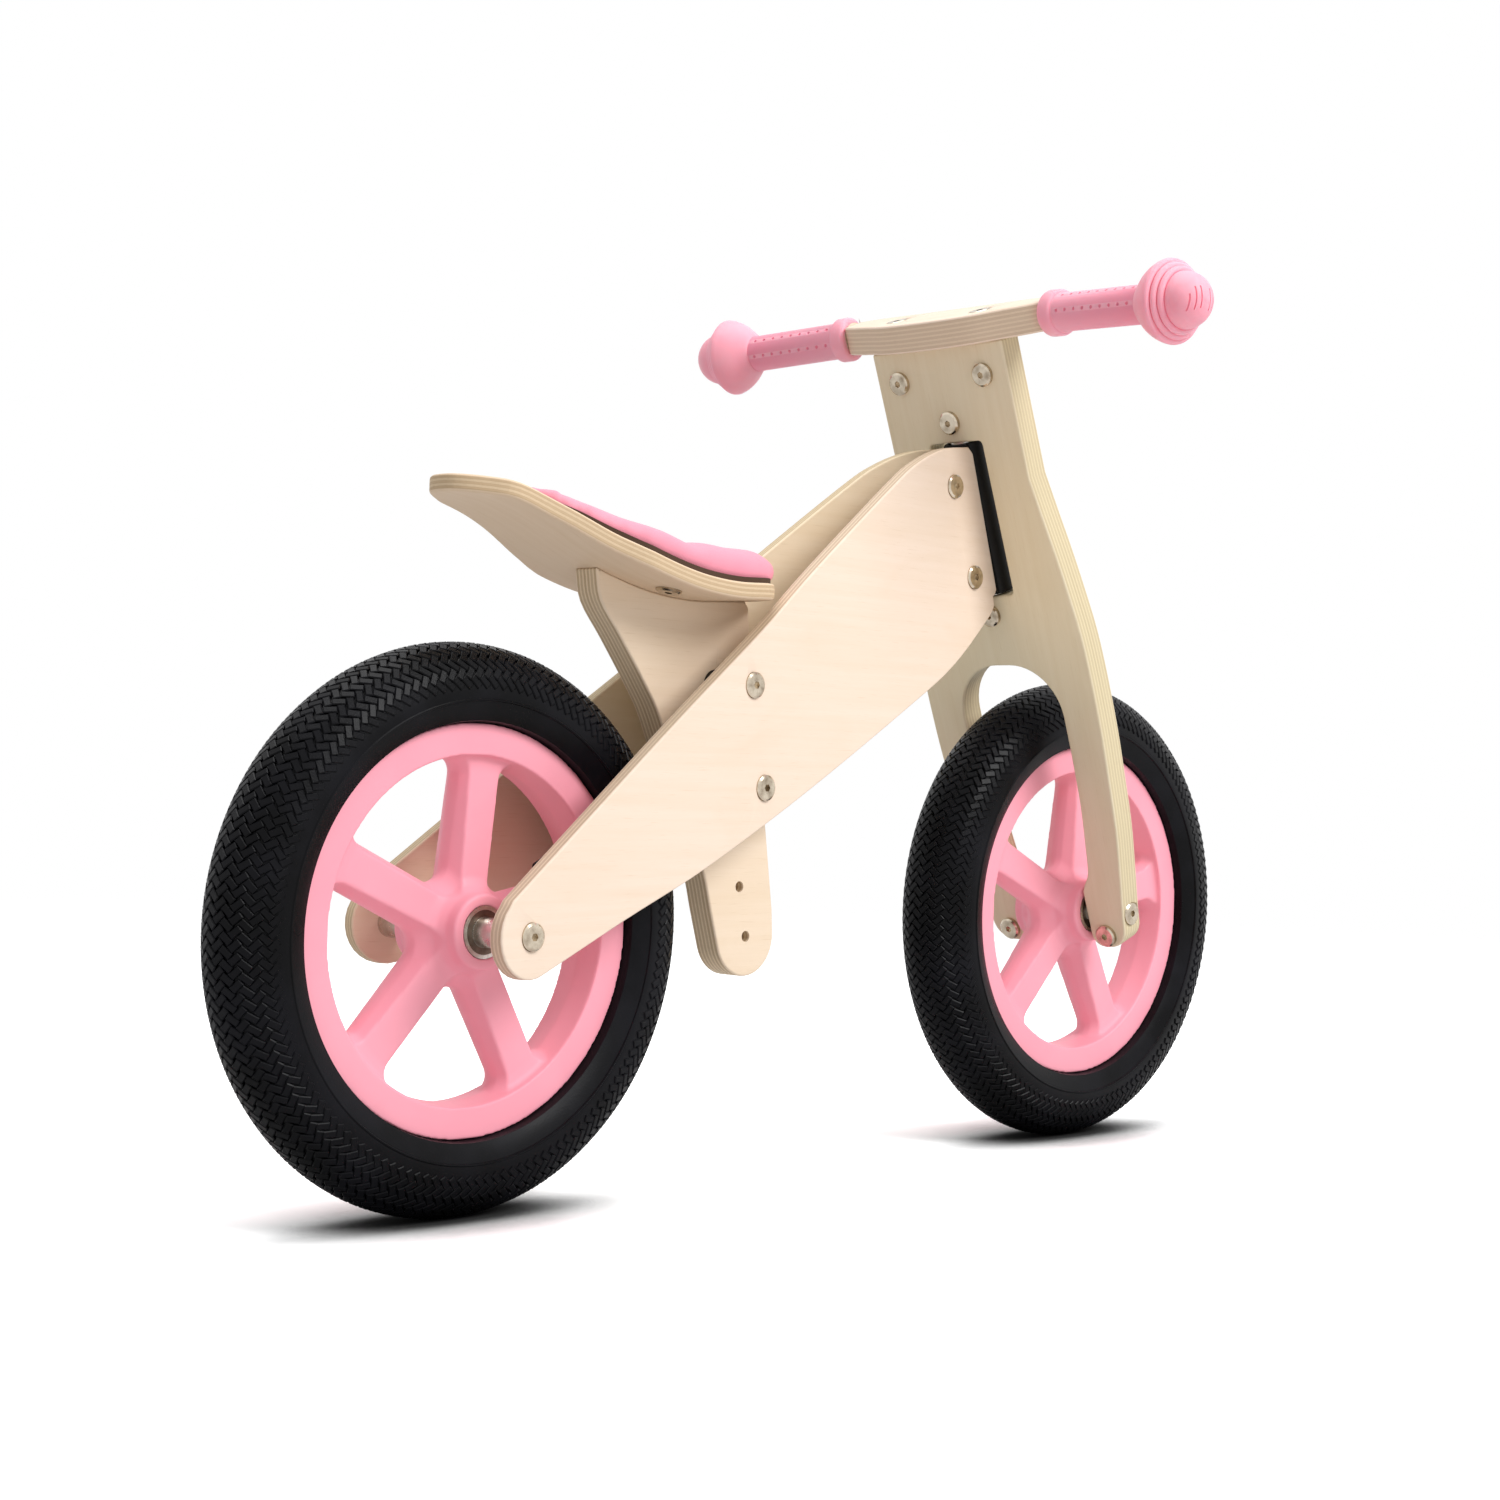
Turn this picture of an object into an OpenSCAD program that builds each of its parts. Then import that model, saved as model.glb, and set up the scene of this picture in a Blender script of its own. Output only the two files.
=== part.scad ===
// Wooden balance bike for a toddler, in millimetres.
// The origin is on the floor, midway between the wheels; +X points forward, +Y to the rider's left.

/* [Chassis] */
// Distance between the two wheel axles
wheelbase = 531; // [480:1:580]
// Angle that the fork leans back from upright
rake = 21.2; // [16:0.1:26]
// Largest steering angle to each side
steer_limit = 24; // [10:1:24]
// Thickness of the two side panels
panel_t = 9; // [8:0.1:9.5]
// Half distance between the outer faces of the panels at the rear axle
rear_half = 63.5; // [60:0.1:66]
// Half distance between the outer faces of the panels at their noses
nose_half = 11.7; // [11.2:0.1:12]
// Thickness of the post, the fork and the handlebar boards
board_t = 18.6; // [16:0.1:20]
// Radius of the panel's rear end around the axle
panel_end_r = 22.5; // [18:0.1:26]

/* [Wheels] */
// Outer radius of the tyre
wheel_r = 152.8; // [148:0.1:160]
// Half width of the tyre
tyre_half_w = 25.6; // [24:0.1:28]
// Outer radius of the rim flanges
rim_r = 110; // [106:0.1:112]
// Half width of the rim
rim_half_w = 15.2; // [14:0.1:18]
// Radius of the rim's inner wall, where the spokes end
rim_in_r = 91.5; // [86:0.1:94]
// Thickness of the rim's walls
rim_wall = 3.6; // [3:0.1:4.5]
// Number of spokes
spokes = 5; // [5:1:6]
// Half width of a spoke
spoke_half_w = 13; // [9:0.5:14]
// Direction of the first spoke, up from straight ahead
spoke_angle = 11; // [0:1:71]
// Radius of the hub boss
hub_r = 20.3; // [18:0.1:22]
// Half length of the hub
hub_half = 26; // [24:0.5:30]
// Thickness of the tyre's casing
tyre_wall = 4; // [3.5:0.1:4.5]
// Clearance of the inflated inner tube below the tyre's crown
tube_gap = 0.4; // [0.3:0.1:1]
// Direction of the rear valve, up from straight ahead
rear_valve_angle = 28; // [27:1:66]
// Direction of the front valve, up from straight ahead
front_valve_angle = 66; // [28:1:67]

/* [Fork and handlebar] */
// Height of the fork board's top edge above the axle, along the fork
fork_top = 391.5; // [375:0.5:410]
// Half width of the fork board's upper part
fork_half_w = 53.5; // [48:0.5:56]
// Play beside the side panels in the steering slot at full lock
slot_play = 1.1; // [0.8:0.1:3]
// Lower end of the steering slot, above the axle along the fork
slot_bottom = 225.2; // [223:0.1:226]
// Upper end of the steering slot, above the axle along the fork
slot_top = 328.6; // [328.4:0.1:331]
// Diameter of the steering rod
rod_d = 10; // [8:0.5:11]
// Handlebar's half length from the middle to the end of a grip
bar_half_l = 208; // [190:1:220]
// Angle that each grip sweeps back
bar_sweep = 8; // [4:0.5:10]
// How far ahead of the fork's middle plane the handlebar's arms start
arm_ahead = 12.5; // [8:0.5:16]
// Depth of the handlebar board behind the fork's middle plane
bar_rear = 20; // [16:0.5:26]
// Depth of the handlebar board ahead of the fork's middle plane
bar_front = 20; // [18:0.5:24]
// Diameter of the handlebar's round ends inside the grips
bar_end_d = 18; // [15:0.1:18.4]
// Radius of the grip's tube
grip_r = 11.9; // [11.6:0.1:13]
// Radius of the grip's inner collar
collar_r = 14.5; // [14:0.1:16]
// Radius of the round safety cap at the grip's end
cap_r = 25.5; // [22:0.1:30]
// Sideways place of the two bolts that hold the handlebar
bar_bolt_y = 34.5; // [28:0.5:40]

/* [Seat] */
// Which hole of the post carries the seat, from the lowest setting
seat_setting = 0; // [0:1:3]
// Distance between the holes of the post
hole_pitch = 30; // [28:0.5:30]
// Angle that the post leans back
post_lean = 12.1; // [11:0.1:13]
// Thickness of the moulded seat board
seat_t = 9.5; // [8:0.1:12]
// Half width of the seat
seat_half_w = 50; // [46:0.5:54]
// Thickness of the base board under the seat pad
base_t = 3; // [2.5:0.1:5]
// Height of the foam pad above its base
pad_h = 11; // [8:0.1:16]
// Diameter of the spacers between the post and the panels
spacer_d = 18; // [14:0.5:24]

/* [Fasteners] */
// Diameter of the flat-headed connector bolts' heads
head_d = 15; // [13:0.1:16]
// Height of those heads
head_h = 3.3; // [2.5:0.1:4]
// Width across flats of the hexagon sockets
socket_w = 4; // [3:0.5:5]
// Diameter of the bolts' shanks
bolt_d = 6; // [5:0.5:6]
// Outer diameter of the sleeve nuts
sleeve_d = 8; // [7.5:0.1:9]
// Diameter of the two axle bolts
axle_d = 8; // [7:0.5:8.5]
// Outer diameter of the axle bolts' sleeve nuts
axle_sleeve_d = 10; // [9.5:0.1:11]
// Radial clearance of a bolt in its hole
hole_gap = 0.1; // [0.05:0.05:0.3]
// Radial clearance of a turning fit
run_gap = 0.06; // [0.02:0.01:0.1]

/* [Hidden] */
$fn = 64;

BIRCH = "#f0dcc0";
PINK = "#fa9aa9";
PAD_PINK = "#fabdc4";
NICKEL = "#c9c2b8";
STEEL = "#9a9da0";
BLACK = "#161614";
RUBBER = "#1d1d20";

cut = 0.5;                       // how far a cutter runs past the face it cuts
touch = 0.02;                    // gap between pieces that are clamped together
rear_x = -wheelbase / 2;
front_x = wheelbase / 2;
fork_half_t = board_t / 2;
nose_depth = fork_half_t + 0.6;  // how far the panels' front edges stay behind the fork's middle
nose_x = nose(-nose_depth, (slot_bottom + slot_top) / 2)[0];
converge = atan((rear_half - nose_half) / nose_x);  // angle of each panel to the middle plane
// Depth that the fork board's rear face sweeps at full lock beside the lower end of the nose
low_nose_half = face_y(nose(-nose_depth, slot_bottom)[0]) + 0.5;
nose_step = (fork_half_t + low_nose_half * sin(steer_limit)) / cos(steer_limit) + 0.6;
high_nose_half = face_y(nose(-nose_step - 2, slot_top - 2.6)[0]);
slot_half_w = (high_nose_half + slot_play + fork_half_t * sin(steer_limit)) / cos(steer_limit);

// Bearing: the common 12 x 28 x 8 mm size
bearing_in_r = 6;
bearing_out_r = 14;
bearing_w = 8;
bearing_face = hub_half - 0.3;
ball_r = 2.3;
balls = 8;
pitch_r = (bearing_in_r + bearing_out_r) / 2;
race_in_r = pitch_r - 1.9;
race_out_r = pitch_r + 1.9;
spacer_r = race_in_r - 0.1;
leg_in = hub_half + 1.5;         // inner faces of the fork legs at the hub
leg_axle_out = hub_half + 29;    // spot faces of the legs' outer edges, where the axle is clamped

// Post: the holes' line starts at the lowest hole, with the seat at its lowest setting
hole0 = [213, -9.3];
post_up = [-sin(post_lean), cos(post_lean)];
lift = seat_setting * hole_pitch * post_up;
bolt_low = hole0 + 3 * hole_pitch * post_up;
bolt_high = hole0 + 5 * hole_pitch * post_up;
post_bolt_spots = [bolt_low, bolt_high];
hole_d = bolt_d + 0.5;
post_end_r = 23.5;

// Nose bolts: depth behind the fork's middle plane and height along it
nose_bolt_spots = [nose(-34, 245.3), nose(-38, 306.7)];

// Seat: its underside in the side view, from the tail to the front
seat_under = spline([
  [-22, 231.9], [10, 228.2], [40, 218.2], [70, 205.2], [100, 195],
  [130, 188.2], [160, 185.5], [190, 186.7], [218, 188.3]
], 6);
seat_front_x = 217;
seat_tail_x = -18.5;
pad_tail_x = 33;
pad_inset = 2.5;
pad_bolt_x = 127.5;
pad_bolt_y = 25;
pad_bolt_sink = 1.4;
seat_screw_x = [150, 184];
screw_head_d = 8;
screw_l = 36;
soft_gap = 0.3;

// Fork: bolts given as [half distance across, height along the fork]
leg_bolt_spot = [40.7, -13];
rod_lock_low = slot_bottom - 13;
rod_lock_high = slot_top + 13.5;
rod_low = rod_lock_low - 9;
rod_high = rod_lock_high + 9;
cross_nut_t = fork_top - 20.5;
cross_nut_d = 10;
washer_t = 1.2;
end_play = 0.2;
block_r = 9.5;
boss_r = 13;
block_low = slot_bottom + washer_t + end_play;
block_high = slot_top - washer_t - end_play;

// Handlebar and grips
bar_mid_t = fork_top + board_t / 2;
bar_head_sink = head_h - 0.2;    // the handlebar's bolt heads are let into its top
arm_start = 60;                  // sideways place where the swept arms start
collar_start = 22.6;             // from there along the arm to the grip's collar
collar_l = 11;
grip_end = bar_half_l / cos(bar_sweep) - arm_start;
cap_at = grip_end - 27;
neck_l = 17;
bar_end_l = cap_at - 12;
grip_wall_gap = 0.1;

// Tyre: its section is an oval that ends foot_a below its widest place, just outside the rim's lip
foot_a = 38;
foot_gap = 1.2;
tyre_c = (rim_r + foot_gap + wheel_r * sin(foot_a)) / (1 + sin(foot_a));
tyre_half_h = wheel_r - tyre_c;
bead_w = 3.6;
crown_in = wheel_r - tyre_wall - tube_gap;
tube_c = (crown_in + rim_r + foot_gap) / 2;
tube_off = (tube_c - tyre_c) / (tyre_half_h - tyre_wall);
tube_side = (tyre_half_w - tyre_wall) * sqrt(1 - tube_off * tube_off) - tube_gap;  // beside the tube
tube_r = min(crown_in - tube_c, tube_side);
tube_wall = 1.2;
valve_d = 8;
valve_tip_d = 5;
stem_start = rim_in_r - 15.5;

// Points of an arc about c
function arc(c, r, a0, a1, n = 12) =
  [for (i = [0 : n]) let (a = a0 + (a1 - a0) * i / n) c + r * [cos(a), sin(a)]];
// Point of the smooth curve between b and c
function blend(a, b, c, d, t) =
  0.5 * (2 * b + (c - a) * t + (2 * a - 5 * b + 4 * c - d) * t * t + (3 * b - a - 3 * c + d) * t * t * t);
// Smooth curve through the points p, with n steps from each to the next
function spline(p, n = 5) = let (last = len(p) - 1) concat(
  [for (i = [0 : last - 1]) for (k = [0 : n - 1])
    blend(i == 0 ? 2 * p[0] - p[1] : p[i - 1], p[i], p[i + 1],
          i == last - 1 ? 2 * p[last] - p[last - 1] : p[i + 2], k / n)],
  [p[last]]);
function reversed(p) = [for (i = [len(p) - 1 : -1 : 0]) p[i]];
function mirrored(p) = [for (q = reversed(p)) [-q[0], q[1]]];
function flipped(p) = [for (q = reversed(p)) [q[0], -q[1]]];
function unit(v) = v / norm(v);
// The curve p moved sideways to its left by d
function beside(p, d) = [for (i = [0 : len(p) - 1])
  let (v = unit(p[min(i + 1, len(p) - 1)] - p[max(i - 1, 0)])) p[i] + d * [-v[1], v[0]]];
function rounded_box(lo, hi, r) = concat(
  arc([hi[0] - r, hi[1] - r], r, 0, 90, 4), arc([lo[0] + r, hi[1] - r], r, 90, 180, 4),
  arc([lo[0] + r, lo[1] + r], r, 180, 270, 4), arc([hi[0] - r, lo[1] + r], r, 270, 360, 4));

// A point near the panels' nose, from its depth ahead of the fork's middle plane and its height
// along the fork; the result is measured from the rear axle
function nose(depth, t) = [
  wheelbase + depth * cos(rake) - t * sin(rake),
  depth * sin(rake) + t * cos(rake)];
// Half distance between the panels' outer faces at x ahead of the rear axle
function face_y(x) = rear_half - x * tan(converge);
// A bolt head's seat is cut just deep enough to be flat all round
function seat_y(x) = face_y(x) - head_d / 2 * tan(converge);
// Longest sleeve of diameter d that goes in from that seat and stays inside the panel
function in_panel(d) = panel_t / cos(converge) - (head_d + d) / 2 * tan(converge) - 0.2;

// Side view of the bike: x ahead of the rear axle, y above it, z to the right
module side_view() {
  translate([rear_x, 0, wheel_r]) rotate([90, 0, 0]) children();
}
// Puts children at the place s of the side view, y to the left of the middle plane
module at_spot(s, y = 0) {
  translate([rear_x + s[0], y, wheel_r + s[1]]) children();
}
// The fork's own frame: x ahead of its middle plane, y left, z up along the board from the axle
module at_fork() {
  translate([front_x, 0, wheel_r]) rotate([0, -rake, 0]) children();
}
// Draws children in the board's plane of the fork, across and up, and extrudes them along x
module fork_plate(t) {
  rotate([90, 0, 90]) linear_extrude(t, center = true) children();
}
// Turns +z to face right, as a bolt head on the right side of the bike does
module facing_right() { rotate([90, 0, 0]) children(); }
module facing_left() { rotate([-90, 0, 0]) children(); }
module facing_rear() { rotate([0, -90, 0]) children(); }
module facing_front() { rotate([0, 90, 0]) children(); }

// Flat round head with a bevelled edge and a hexagon socket; its base is at z = 0
module head() {
  bevel = 0.9;
  difference() {
    rotate_extrude() polygon([
      [0, 0], [head_d / 2, 0], [head_d / 2, head_h - bevel],
      [head_d / 2 - bevel * 1.3, head_h], [0, head_h]]);
    translate([0, 0, head_h - 2.4]) cylinder(d = socket_w / cos(30), h = 2.4 + cut, $fn = 6);
  }
}
module bolt(length, d = bolt_d) {
  head();
  translate([0, 0, -length]) cylinder(d = d, h = length + 0.1);
}
module sleeve_nut(length, outer_d = sleeve_d, inner_d = bolt_d + 2 * hole_gap) {
  head();
  difference() {
    translate([0, 0, -length]) cylinder(d = outer_d, h = length + 0.1);
    translate([0, 0, -length - cut]) cylinder(d = inner_d, h = length + cut - 0.6);
  }
}
module hole(d, length) { cylinder(d = d + 2 * hole_gap, h = length, center = true); }
// Cutter that makes a flat seat for a bolt head
module spot_face() { cylinder(d = head_d + 0.4, h = 20); }

// ---- frame ----

module panel_outline() {
  stretch = 1 / cos(converge);
  low = spline([
    [8.5, -20.8], [75, 6.5], [145, 34], [235, 76],
    nose(-137, 189.5), nose(-75, 198.3), nose(-27, 214), nose(-nose_step - 0.3, slot_bottom - 5)]);
  high = spline([
    nose(-13.5, slot_top - 2.5), nose(-41, 332), nose(-71, 331.5), nose(-103, 325),
    [240, 209], [190, 170], [115, 115.5], [50, 67], [-13.8, 19]]);
  scale([stretch, 1]) polygon(concat(
    low,
    [nose(-nose_step, slot_bottom + 1), nose(-nose_step + 2.7, slot_bottom + 2),
     nose(-nose_depth, slot_bottom + 4.5), nose(-nose_depth, slot_top - 7.5)],
    high,
    arc([0, 0], panel_end_r, 135, 285)));
}
module panel_blank() {
  at_spot([0, 0], rear_half) rotate([0, 0, -converge]) rotate([90, 0, 0])
    linear_extrude(panel_t) panel_outline();
}
// The left panel, with holes for bolts of the given diameters
module side_panel(small_d, axle_hole_d) {
  difference() {
    panel_blank();
    for (s = concat(post_bolt_spots, nose_bolt_spots)) {
      at_spot(s) facing_left() cylinder(d = small_d + 2 * hole_gap, h = 2 * rear_half);
      at_spot(s, seat_y(s[0])) facing_left() spot_face();
    }
    at_spot([0, 0]) facing_left() cylinder(d = axle_hole_d + 2 * hole_gap, h = 2 * rear_half);
    at_spot([0, 0], seat_y(0)) facing_left() spot_face();
  }
}
module left_side_panel() {
  color(BIRCH) side_panel(sleeve_d, axle_sleeve_d);
}
module right_side_panel() {
  color(BIRCH) mirror([0, 1, 0]) side_panel(bolt_d, axle_d);
}

module seat_underside_cutter() {
  polygon(concat(seat_under,
    [[seat_front_x + 40, 187.7], [seat_front_x + 40, 296], [seat_tail_x - 40, 296]]));
}
module post_outline() {
  front_foot = hole0 + [24, 3];
  difference() {
    polygon(concat(
      arc(hole0, post_end_r, 197, 365, 20),
      [front_foot + [-1.5, 12], front_foot + [-8, 55], [212, 155.7], [208.5, 177.7]],
      arc([204.5, 182.2], 4, 0, 60, 3),
      [[200, 205.7], [87, 207.7]],
      spline([
        [87, 197.7], [91, 180.7], [107, 160.7], [127, 134.7], [139, 116.2], [158, 73.7], [176.5, 30.2],
        hole0 + [-29.5, 16.3]], 4)));
    seat_underside_cutter();
  }
}
module seat_post() {
  color(BIRCH) difference() {
    side_view() translate(lift) linear_extrude(board_t, center = true) post_outline();
    for (k = [0 : 5])
      at_spot(hole0 + k * hole_pitch * post_up + lift) facing_left()
        cylinder(d = hole_d, h = 2 * board_t, center = true);
    seat_fixing_holes();
  }
}
// Round distance pieces between the post and the panels, cut to the panels' angle
module post_spacers() {
  color(BLACK) difference() {
    for (s = post_bolt_spots) for (side = [0, 1]) mirror([0, side, 0])
      at_spot(s, board_t / 2 + touch) facing_left() difference() {
        cylinder(d = spacer_d, h = rear_half);
        translate([0, 0, -cut]) cylinder(d = sleeve_d + 4 * hole_gap, h = rear_half + 2 * cut);
      }
    for (side = [0, 1]) mirror([0, side, 0]) beyond_inner_face();
  }
}
// Everything outside the left panel's inner face
module beyond_inner_face() {
  at_spot([0, 0], rear_half) rotate([0, 0, -converge])
    translate([-wheelbase, -panel_t - touch, -wheelbase]) cube([3 * wheelbase, 200, 3 * wheelbase]);
}
module post_bolts() {
  color(NICKEL) for (s = post_bolt_spots)
    at_spot(s, -seat_y(s[0])) facing_right() bolt(2 * seat_y(s[0]) - 3);
}
module post_nuts() {
  color(NICKEL) for (s = post_bolt_spots)
    at_spot(s, seat_y(s[0])) facing_left() sleeve_nut(22);
}

// ---- seat ----

// Half outlines of the seat and its pad from above, with a round front and a narrow tail
function seat_side() = spline([
  [seat_tail_x, 0], [seat_tail_x + 1.2, 8], [seat_tail_x + 6, 15.5], [-4, 23], [8, seat_half_w - 19.5],
  [27, seat_half_w - 18], [42, seat_half_w - 15.5], [70, seat_half_w - 8], [88, seat_half_w - 2],
  [104, seat_half_w], [seat_front_x - seat_half_w, seat_half_w]], 4);
function pad_side() = spline([
  [pad_tail_x, 0], [pad_tail_x + 1.5, 10], [pad_tail_x + 7, 20], [pad_tail_x + 17, 28.5],
  [66, seat_half_w - 13.5], [88, seat_half_w - 5], [104, seat_half_w - pad_inset],
  [seat_front_x - seat_half_w, seat_half_w - pad_inset]], 4);
// Whole outline from its left side, with a round front of radius w
module plan(side, w) {
  front_c = seat_front_x - seat_half_w;
  round_front = arc([front_c, 0], w, 90, 0, 16);
  half = concat(side, [for (i = [1 : 15]) round_front[i]]);
  polygon(concat(half, [[front_c + w, 0]], flipped([for (i = [1 : len(half) - 1]) half[i]])));
}
module seat_plan() { plan(seat_side(), seat_half_w); }
module pad_plan() { plan(pad_side(), seat_half_w - pad_inset); }
// The layer of the outline in children between heights a and b above the seat's underside
module seat_layer(a, b) {
  intersection() {
    side_view() translate(lift) linear_extrude(200, center = true)
      polygon(concat(beside(seat_under, a), reversed(beside(seat_under, b))));
    at_spot(lift) linear_extrude(400) children();
  }
}
function under_at(x) = lookup(x, seat_under);
module seat_fixing_holes() {
  for (x = seat_screw_x)
    at_spot(lift + [x, under_at(x)]) cylinder(d = 4 + 2 * hole_gap, h = 100, center = true);
}
module pad_fixings() {
  for (side = [-1, 1])
    at_spot(lift + [pad_bolt_x, under_at(pad_bolt_x)], side * pad_bolt_y) rotate([0, 12, 0]) children();
}
module seat_board() {
  color(BIRCH) difference() {
    seat_layer(0, seat_t) seat_plan();
    seat_fixing_holes();
    for (x = seat_screw_x)
      at_spot(lift + [x, under_at(x) + seat_t - 3.4]) cylinder(d = screw_head_d + 1, h = 20);
    pad_fixings() hole(sleeve_d, 60);
    pad_fixings() translate([0, 0, pad_bolt_sink]) mirror([0, 0, 1]) spot_face();
  }
}
module pad_base() {
  color("#b98f62") difference() {
    seat_layer(seat_t + touch, seat_t + base_t) pad_plan();
    pad_fixings() hole(sleeve_d, 60);
  }
}
module seat_pad() {
  color(PAD_PINK) difference() {
    seat_layer(seat_t + base_t + soft_gap, seat_t + base_t + pad_h) pad_plan();
    pad_fixings() cylinder(d = sleeve_d + 4, h = seat_t + base_t + 3);
  }
}
module pad_bolts() {
  color(NICKEL) pad_fixings() translate([0, 0, pad_bolt_sink]) mirror([0, 0, 1])
    bolt(seat_t + base_t - pad_bolt_sink);
}
// Tee nuts let into the pad's base
module pad_nuts() {
  color(STEEL) pad_fixings() difference() {
    translate([0, 0, seat_t - 1]) cylinder(d = sleeve_d, h = base_t + 2);
    cylinder(d = bolt_d + 2 * hole_gap, h = seat_t + base_t + 0.4);
  }
}
// Countersunk wood screws from the seat board down into the post
module seat_screws() {
  color(STEEL) for (x = seat_screw_x)
    at_spot(lift + [x, under_at(x) + seat_t - 3.3]) {
      cylinder(d = screw_head_d, h = 2);
      translate([0, 0, -screw_l]) cylinder(d = 4, h = screw_l + 0.1);
    }
}

// ---- steering head ----

// Black nylon head block: a bored barrel in the fork's slot and a tongue between the panels
module steering_block() {
  color(BLACK) difference() {
    union() {
      at_fork() block_boss();
      at_fork() translate([-nose_depth + touch, -block_r, block_low])
        cube([nose_depth - touch, 2 * block_r, block_high - block_low]);
      block_tongue();
    }
    at_fork() translate([0, 0, block_low - cut])
      cylinder(d = rod_d + 2 * run_gap, h = block_high - block_low + 2 * cut);
    for (s = nose_bolt_spots) at_spot(s) facing_left() hole(bolt_d, 4 * board_t);
  }
}
// Round housing for the rod, cut off flat behind so that it stays clear of the panels' front edges
module block_boss() {
  intersection() {
    translate([0, 0, block_low]) cylinder(r = boss_r, h = block_high - block_low);
    translate([-nose_depth + 1.6, -2 * boss_r, block_low])
      cube([4 * boss_r, 4 * boss_r, block_high - block_low]);
  }
}
module block_tongue() {
  difference() {
    at_fork() fork_side() polygon([
      [-nose_depth + 1, block_low + 6], [-nose_depth + 1, block_high - 6],
      [-50, block_high - 4], [-56, block_high - 14], [-50, block_low + 8]]);
    for (side = [0, 1]) mirror([0, side, 0]) beyond_inner_face();
  }
}
// Draws children in the fork's side view, ahead and up, and extrudes them across
module fork_side() {
  rotate([90, 0, 0]) linear_extrude(4 * board_t, center = true) children();
}
module nose_bolts() {
  color(NICKEL) for (s = nose_bolt_spots)
    at_spot(s, -seat_y(s[0])) facing_right() bolt(2 * seat_y(s[0]) - 3);
}
module nose_nuts() {
  color(NICKEL) for (s = nose_bolt_spots)
    at_spot(s, seat_y(s[0])) facing_left() sleeve_nut(in_panel(sleeve_d));
}
module steering_rod() {
  color(STEEL) at_fork() difference() {
    translate([0, 0, rod_low]) cylinder(d = rod_d, h = rod_high - rod_low);
    for (t = [rod_lock_low, rod_lock_high]) translate([0, 0, t]) facing_front() hole(bolt_d, 2 * rod_d);
  }
}
module thrust_washers() {
  color(STEEL) at_fork() for (t = [slot_bottom + touch, slot_top - washer_t - touch])
    translate([0, 0, t]) difference() {
      cylinder(r = block_r - 0.5, h = washer_t);
      translate([0, 0, -cut]) cylinder(d = rod_d + 2 * hole_gap, h = washer_t + 2 * cut);
    }
}
module rod_lock_bolts() {
  color(NICKEL) at_fork() for (t = [rod_lock_low, rod_lock_high])
    translate([-fork_half_t, 0, t]) facing_rear() bolt(board_t - 2);
}
module rod_lock_nuts() {
  color(NICKEL) at_fork() for (t = [rod_lock_low, rod_lock_high])
    translate([fork_half_t, 0, t]) facing_front() sleeve_nut(fork_half_t - rod_d / 2 - 0.5);
}

// ---- fork ----

module fork_outline() {
  arch_t = 141;
  arch_x = 5.5;
  arch_r = 36;
  outer = spline([
    [fork_half_w, fork_top - 90], [fork_half_w + 4.3, 276], [62.5, 249], [66.4, 222], [69.5, 195],
    [70.4, 165], [70, 130], [68.6, 103], [66, 64], [62.2, 35], [57.6, 5], [56.7, -2.5]], 3);
  inner = spline([
    [leg_in + 2.4, 22.5], [leg_in + 7, 31], [leg_in + 9.6, 50], [leg_in + 12.6, 80],
    [41.3, 115], [arch_x + arch_r, arch_t]], 4);
  half = concat(
    [[fork_half_w, fork_top]], outer,
    arc([41, -7], 15, -6, -90, 8), arc([leg_in + 9, -13], 9, -90, -180, 6),
    [[leg_in, 17.5]], inner,
    arc([arch_x, arch_t], arch_r, 0, 90, 12));
  polygon(concat(half, mirrored(half)));
}
module fork_board() {
  color(BIRCH) at_fork() difference() {
    fork_plate(board_t) difference() {
      fork_outline();
      polygon(rounded_box([-slot_half_w, slot_bottom], [slot_half_w, slot_top], 3));
    }
    translate([0, 0, rod_low - 1]) cylinder(d = rod_d + 2 * hole_gap, h = fork_top);
    for (t = [rod_lock_low, rod_lock_high]) translate([0, 0, t]) facing_front() {
      hole(bolt_d, 2 * board_t);
      cylinder(d = sleeve_d + 2 * hole_gap, h = board_t);
    }
    for (side = [-1, 1]) {
      translate([0, side * leg_bolt_spot[0], leg_bolt_spot[1]]) facing_front() hole(sleeve_d, 2 * board_t);
      translate([0, side * bar_bolt_y, cross_nut_t]) facing_front() hole(cross_nut_d, 2 * board_t);
      translate([0, side * bar_bolt_y, cross_nut_t - cross_nut_d])
        cylinder(d = bolt_d + 2 * hole_gap, h = 60);
    }
    facing_right() cylinder(d = axle_d + 2 * hole_gap, h = 100);
    facing_left() cylinder(d = axle_sleeve_d + 2 * hole_gap, h = 100);
    for (side = [0, 1]) mirror([0, side, 0])
      translate([0, leg_axle_out, 0]) facing_left() spot_face();
  }
}
module leg_bolts() {
  color(NICKEL) at_fork() for (side = [-1, 1])
    translate([-fork_half_t, side * leg_bolt_spot[0], leg_bolt_spot[1]]) facing_rear() bolt(board_t - 2);
}
module leg_nuts() {
  color(NICKEL) at_fork() for (side = [-1, 1])
    translate([fork_half_t, side * leg_bolt_spot[0], leg_bolt_spot[1]]) facing_front()
      sleeve_nut(board_t - 3);
}

// ---- handlebar ----

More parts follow.
